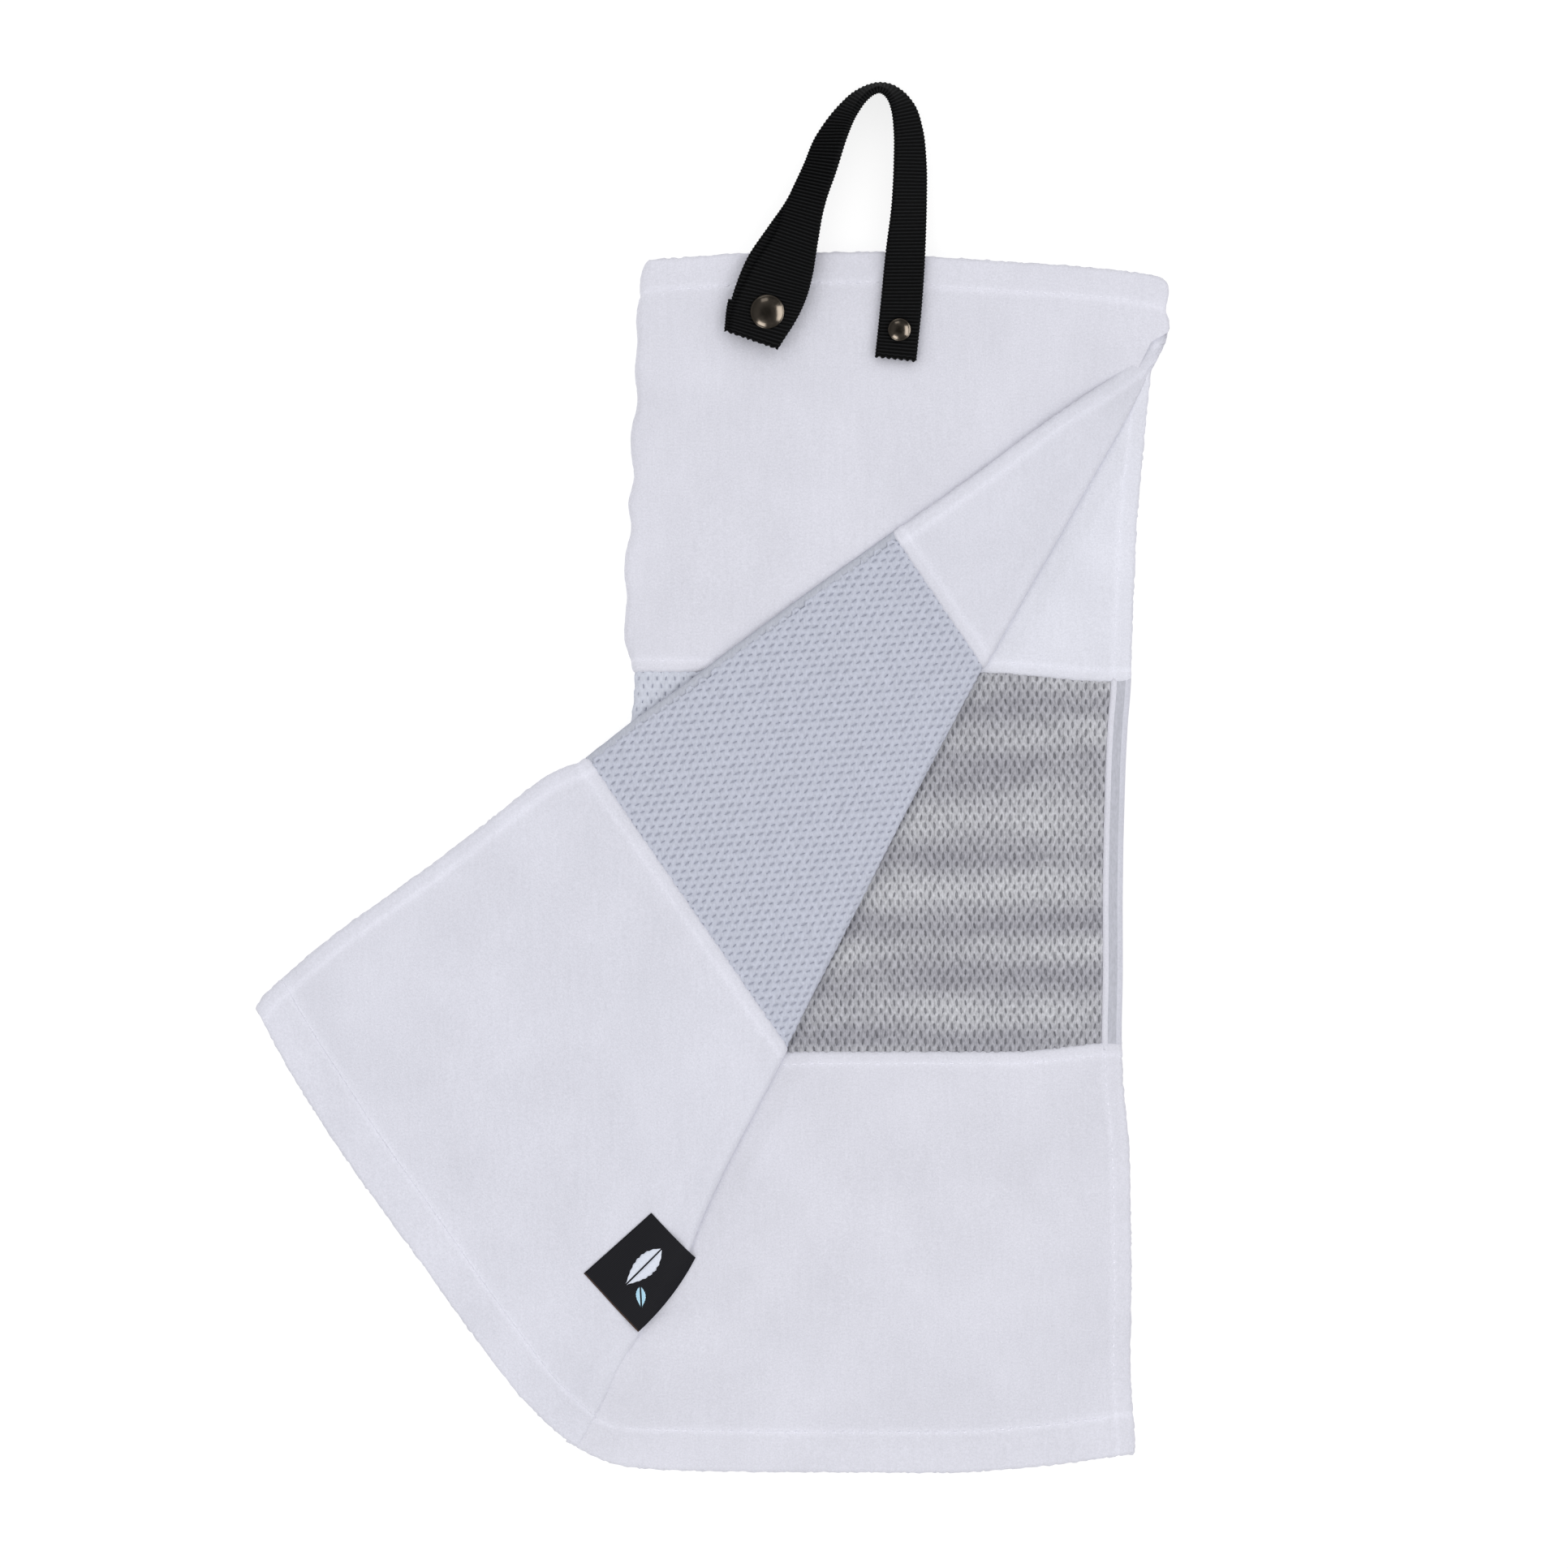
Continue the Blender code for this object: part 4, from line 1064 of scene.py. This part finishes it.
def build_hardware():
    snap = lathe("snap_dome", cap_profile(5.85, 12.15, 12.5, 14.4), SNAP)
    rivet = lathe("rivet_dome", cap_profile(4.0, 9.6, 10.1, 11.6), RIVET)
    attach(snap, "strap")
    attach(rivet, "towel")
    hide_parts("snap_cap")
    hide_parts("rivet_cap")


# ---- woven label

LABEL_CORNERS = ((-20.4, -148.1), (-5.4, -163.9), (-24.9, -188.9), (-43.5, -168.9))
LABEL_SIZE = (24.5, 31.4)
LABEL_THICK = 0.5


def label_point(u, v, lift=0.0):
    """u runs across the label to the edge that hangs over the turn, v along it towards the hem."""
    a, b, c, d = (np.array(corner) for corner in LABEL_CORNERS)
    u, v = np.asarray(u, float)[..., None], np.asarray(v, float)[..., None]
    flat = a * (1 - u) * (1 - v) + b * u * (1 - v) + c * u * v + d * (1 - u) * v
    flat = flat + RIGHT * (1.5 * smooth(0.5, 1, u) * 4 * v * (1 - v))
    x, y = flat[..., 0], flat[..., 1]
    s, n = to_turn(x, y)
    top = flap_height(x, y, s) + swell(s, n) + TERRY / 2 + 0.45 + 0.12 * noise(x, y, 9, 91)
    over = np.maximum(n + 4.0, 0)
    return np.concatenate([flat, (top - over**2 / 16 + lift)[..., None]], -1)


def sheet_on_label(u, v, low, high):
    """Points and faces of a thin closed grid between two heights on the label."""
    points = np.concatenate([label_point(u, v, height).reshape(-1, 3) for height in (high, low)])
    return points, slab_faces(*u.shape)


def label_kinds(u):
    """The label's last rows, by its cut edge, show the brown weft of the selvedge."""
    rows, columns = u.shape
    row = np.repeat(np.arange(rows - 1) >= rows - 2, columns - 1).astype(float)
    return [row, row, np.zeros(2 * (rows - 1) + 2 * (columns - 1))]


def half_blade(centre, angle, length, breadth, side):
    """One half of a leaf, from its midrib out to its edge, in the label's millimetres."""
    t, s = np.meshgrid(np.linspace(0, 1, 26), np.linspace(0, 1, 5))
    edge = breadth * np.sin(math.pi * t**0.8) ** 0.9 * (1 + 0.06 * np.cos(16 * math.pi * t))
    x = (t - 0.5) * length
    y = side * (0.28 + s * np.maximum(edge - 0.28, 0.02))
    cos, sin = math.cos(math.radians(angle)), math.sin(math.radians(angle))
    return centre[0] + x * cos - y * sin, centre[1] + x * sin + y * cos


def build_label():
    v_places = np.concatenate([np.linspace(0, 0.975, 44), [0.985, 1]])
    u, v = np.meshgrid(np.linspace(0, 1, 36), v_places)
    points, faces = sheet_on_label(u, v, -LABEL_THICK, 0.0)
    label = new_object("label_cloth", points, faces, LABEL, LABEL_EDGE, kinds=label_kinds(u))
    made = [label]
    for name, finish, *blade in (
        ("label_leaf", MOTIF, (12.0, 14.6), 92, 17.0, 3.5),
        ("label_small_leaf", MOTIF_BLUE, (17.6, 22.6), 48, 6.4, 1.5),
    ):
        halves = []
        for side in (1, -1):
            x, y = half_blade(*blade, side)
            points, faces = sheet_on_label(x / LABEL_SIZE[0], y / LABEL_SIZE[1], -0.1, 0.10)
            halves.append((points, np.concatenate(faces)))
        made.append(joined(name, halves, finish))
    for piece in made:
        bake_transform(piece)
    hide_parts("woven_label")


# ---- build

MESH_ENDS = LOWER_SEAM - SEAM_LAP, UPPER_SEAM + SEAM_LAP


def on_mesh_band(b):
    return (b > MESH_ENDS[0]) & (b < MESH_ENDS[1])


def in_back(a, b):
    return (a > fold_centre(b)) & (a < right_edge(b) - SIDE_HEM + 1.5) & on_mesh_band(b)


def in_front(a, b):
    return (a > -1) & (a < front_limit(b) + 0.5) & on_mesh_band(b)


def in_flap(a, b):
    return (a > roll_start(b)) & (a < front_free_edge(b) - NET_MARGIN) & on_mesh_band(b)


def mesh_band(name, surface, inside, left, right, *looks):
    low, high = MESH_ENDS
    return net(name, surface, inside, (left, low), (right, high), *looks)


def build_towel():
    hem_profile = (
        (0, 0.2), (0.03, 1.9), (0.1, 2.9), (0.22, 2.9), (0.30, 2.3), (0.45, 2.2), (0.62, 2.2), (0.72, 2.5),
        (0.86, 2.6), (0.95, 1.9), (1, 0.2),
    )
    hem_looks = hem_profile, (WHITE, GREY_HEM, HEM_EDGE), (0, 0, 0, 0, 1, 1, 1, 2, 2, 2)
    hem_ends = LOWER_SEAM - 1.0, UPPER_SEAM - 2.0
    for obj, *cad_nodes in (
        (back_terry("back_terry_upper", "top"), "back_leaf_terry_upper", "top_hem_back"),
        (
            front_terry("front_terry_upper", "top"),
            "front_leaf_terry_upper", "top_hem_front", "side_hem_front",
        ),
        (back_terry("back_terry_lower", "bottom"), "back_leaf_terry_lower", "bottom_hem_back"),
        (front_terry("front_terry_lower", "bottom"), "front_leaf_terry_lower"),
        (mesh_band("back_mesh", back_leaf, in_back, -40, 145, GREY_BACK_PAINTED_SHADE, BACK_HOLE_PAINTED_SHADE, 1.12, 41), "back_leaf_mesh"),
        (
            mesh_band("front_mesh", front_leaf, in_front, -2, 140, GREY_FRONT_PAINTED_LIGHT, HOLE_PAINTED_SHADE, 0.62, 43),
            "front_leaf_mesh",
        ),
        (
            hem_strip("side_hem_mesh", back_leaf, right_edge, SIDE_HEM_STRIP, *hem_ends, *hem_looks),
            "side_hem_back",
        ),
    ):
        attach(obj, "towel")
        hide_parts(*cad_nodes)


def build_flap():
    hem_profile = (
        (0, 0.2), (0.15, 0.9), (0.38, 1.2), (0.52, 1.7), (0.75, 1.8), (0.88, 1.5), (0.96, 1.0), (1, 0.2),
    )
    hem_ends = LOWER_SEAM - 1.0, UPPER_SEAM + 1.0
    upper = flap_terry("flap_cloth_upper", "top")
    lower = flap_terry("flap_cloth_lower", "middle")
    hem = flap_terry("flap_cloth_hem", "hem")
    mesh = mesh_band("flap_mesh_cloth", flap, in_flap, 0, 160, GREY_FLAP, HOLE_PAINTED_SHADE, 0.92, 47)
    mesh_hem = hem_strip(
        "flap_hem_mesh", flap, front_free_edge, FREE_HEM, *hem_ends, hem_profile, (EDGE_GREY,), seed=73
    )
    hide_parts("flap_terry_upper", "flap_side_hem")
    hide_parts("flap_terry_lower")
    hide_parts("flap_bottom_hem")
    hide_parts("flap_mesh")
    for piece in (upper, lower, mesh):
        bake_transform(piece)
    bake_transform(hem)
    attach(mesh_hem, "flap")


def build_stitching():
    """Each row runs along a or b between two places; its other coordinate comes from a function."""

    def side(b):
        return right_edge(b) - SIDE_HEM

    def free_side(b):
        return front_free_edge(b) - SIDE_STITCH

    def on_back(a):
        return back_upper_seam(a) + TOP_STITCH

    def top_row(a):
        return top_edge(a - FOLD_LEAD) - TOP_HEM

    below, above = LOWER_SEAM - 2, UPPER_SEAM + 2
    sunk, on_hem = TERRY / 2 - 0.2, TERRY / 2
    rows = (
        ("top_hem_stitching", front_leaf, on_hem, "a", 9, 181, top_row),
        ("bottom_hem_stitching", back_leaf, on_hem, "a", -30, 137, lambda a: bottom_edge(a) + BOTTOM_HEM),
        ("side_hem_stitching", back_leaf, sunk + 0.1, "b", -228, below, side),
        ("side_hem_stitching", back_leaf, sunk + 0.1, "b", above, 166, side),
        ("seam_stitching_upper", front_leaf, sunk, "a", 2, 62, lambda a: UPPER_SEAM + TOP_STITCH),
        ("seam_stitching_upper", back_leaf, sunk, "a", -26, 134, on_back),
        ("seam_stitching_lower", back_leaf, sunk, "a", -28, 134, lambda a: back_lower_seam(a) - TOP_STITCH),
        ("flap_side_stitching", flap, sunk + 0.1, "b", below, -222, free_side),
        ("flap_side_stitching", flap, sunk + 0.1, "b", above, 146, free_side),
        ("flap_bottom_stitching", flap, on_hem, "a", -20, 136, lambda a: flap_bottom(a) + BOTTOM_HEM),
        ("flap_seam_stitching_upper", flap, sunk, "a", 101, 140, lambda a: UPPER_SEAM + TOP_STITCH),
        ("flap_seam_stitching_lower", flap, sunk, "a", 30, 137, lambda a: LOWER_SEAM - TOP_STITCH),
    )
    pieces = {}
    for cad_node, surface, height, along, first, last, other in rows:
        run = np.linspace(first, last, 160)
        path = [run, other(run) + 0 * run]
        row = stitch_row(surface, path if along == "a" else path[::-1], height)
        pieces.setdefault(cad_node, []).append(row)
    for cad_node, parts in pieces.items():
        obj = joined(cad_node.replace("stitching", "thread"), parts, THREAD)
        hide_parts(cad_node)
        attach(obj, "flap" if cad_node.startswith("flap") else "towel")


def declare_cloth():
    """Each panel's flat size is its own share of the cut cloth. Its flat width, length and area are looked up
    here; nothing further is done with them.
    """
    for name, held, *rests_on in (
        ("back_terry_upper", "laid"),
        ("back_mesh", "laid"),
        ("side_hem_mesh", "folded"),
        ("back_terry_lower", "laid"),
        ("front_terry_upper", "folded", "back_terry_upper"),
        ("front_mesh", "folded", "back_mesh"),
        ("front_terry_lower", "folded", "back_terry_lower"),
        ("flap_cloth_upper", "folded", "front_terry_upper"),
        ("flap_mesh_cloth", "folded", "front_mesh", "front_terry_upper"),
        ("flap_hem_mesh", "folded", "front_terry_upper"),
        ("flap_cloth_lower", "folded", "front_terry_lower", "front_mesh"),
        ("flap_cloth_hem", "folded", "back_terry_lower"),
    ):
        *flat, area = CUTS[name]
        flat = tuple(max(side, SMALLEST_SIDE) for side in flat)


build_towel()
build_flap()
build_stitching()
build_strap()
build_hardware()
build_label()
declare_cloth()


# ---- stage


def build_camera():
    """Straight above the towel, with seen_width of the ground in view."""
    data = bpy.data.cameras.new("camera")
    data.lens = 100
    data.sensor_width = 36
    data.clip_end = 20
    camera = link("camera", data)
    seen_width = 536.7
    camera.location = Vector((24.9, -1.7, 6 + seen_width / 36 * 100)) * MM
    bpy.context.scene.camera = camera


def build_floor():
    half = 12.0
    corners = [(-half, -half, 0), (half, -half, 0), (half, half, 0), (-half, half, 0)]
    data = bpy.data.meshes.new("floor")
    data.from_pydata(corners, [], [(0, 1, 2, 3)])
    made, tree, shader = nodes_of("floor")
    feed(shader, {
        "Base Color": (0.26, 0.26, 0.26, 1),
        "Roughness": 1.0,
        "Specular IOR Level": 0.0,
        "Emission Color": (1, 1, 1, 1),
        "Emission Strength": 0.80,
    })
    data.materials.append(made)
    link("floor", data)


def build_sky():
    """A white studio: brightest round the top, dimmer straight above and near the ground."""
    world = bpy.data.worlds.new("studio")
    world.use_nodes = True
    tree = world.node_tree
    where = node(tree, "ShaderNodeTexCoord").outputs["Generated"]
    height = node(tree, "ShaderNodeSeparateXYZ", {0: where}).outputs["Z"]
    rising, overhead = ramp(height, 0.0, 0.7, 0.1, 1.0), ramp(height, 0.80, 0.97, 1.46, 0.5)
    strength = times(rising, overhead)
    feed(tree.nodes["Background"], {"Color": (1.0, 1.0, 1.0, 1), "Strength": strength})
    bpy.context.scene.world = world


def build_softboxes():
    """Softboxes that only the gloss of the metal picks up: place, size across and along, power."""
    for name, place, across, along, power in (
        ("right", (1.22, 0.10, 0.94), 0.62, 1.5, 78.0),
        ("low_left", (-0.60, -1.00, 0.92), 0.60, 0.8, 45.0),
        ("top", (-0.25, 1.35, 0.9), 0.35, 0.6, 5.6),
    ):
        data = bpy.data.lights.new(name, "AREA")
        data.shape = "RECTANGLE"
        data.size, data.size_y = along, across
        data.energy = power
        light = link(name, data)
        light.location = place
        light.visible_diffuse = False
        light.visible_camera = False
        light.rotation_mode = "QUATERNION"
        light.rotation_quaternion = (-Vector(place)).to_track_quat("-Z", "Y")


build_camera()
build_floor()
build_sky()
build_softboxes()
bpy.context.scene.view_settings.view_transform = "Standard"

for cad_node in frame["nodes"].values():
    if cad_node.name.startswith(("snap", "rivet")):
        cad_node.data.materials.clear()
        cad_node.data.materials.append(METAL)
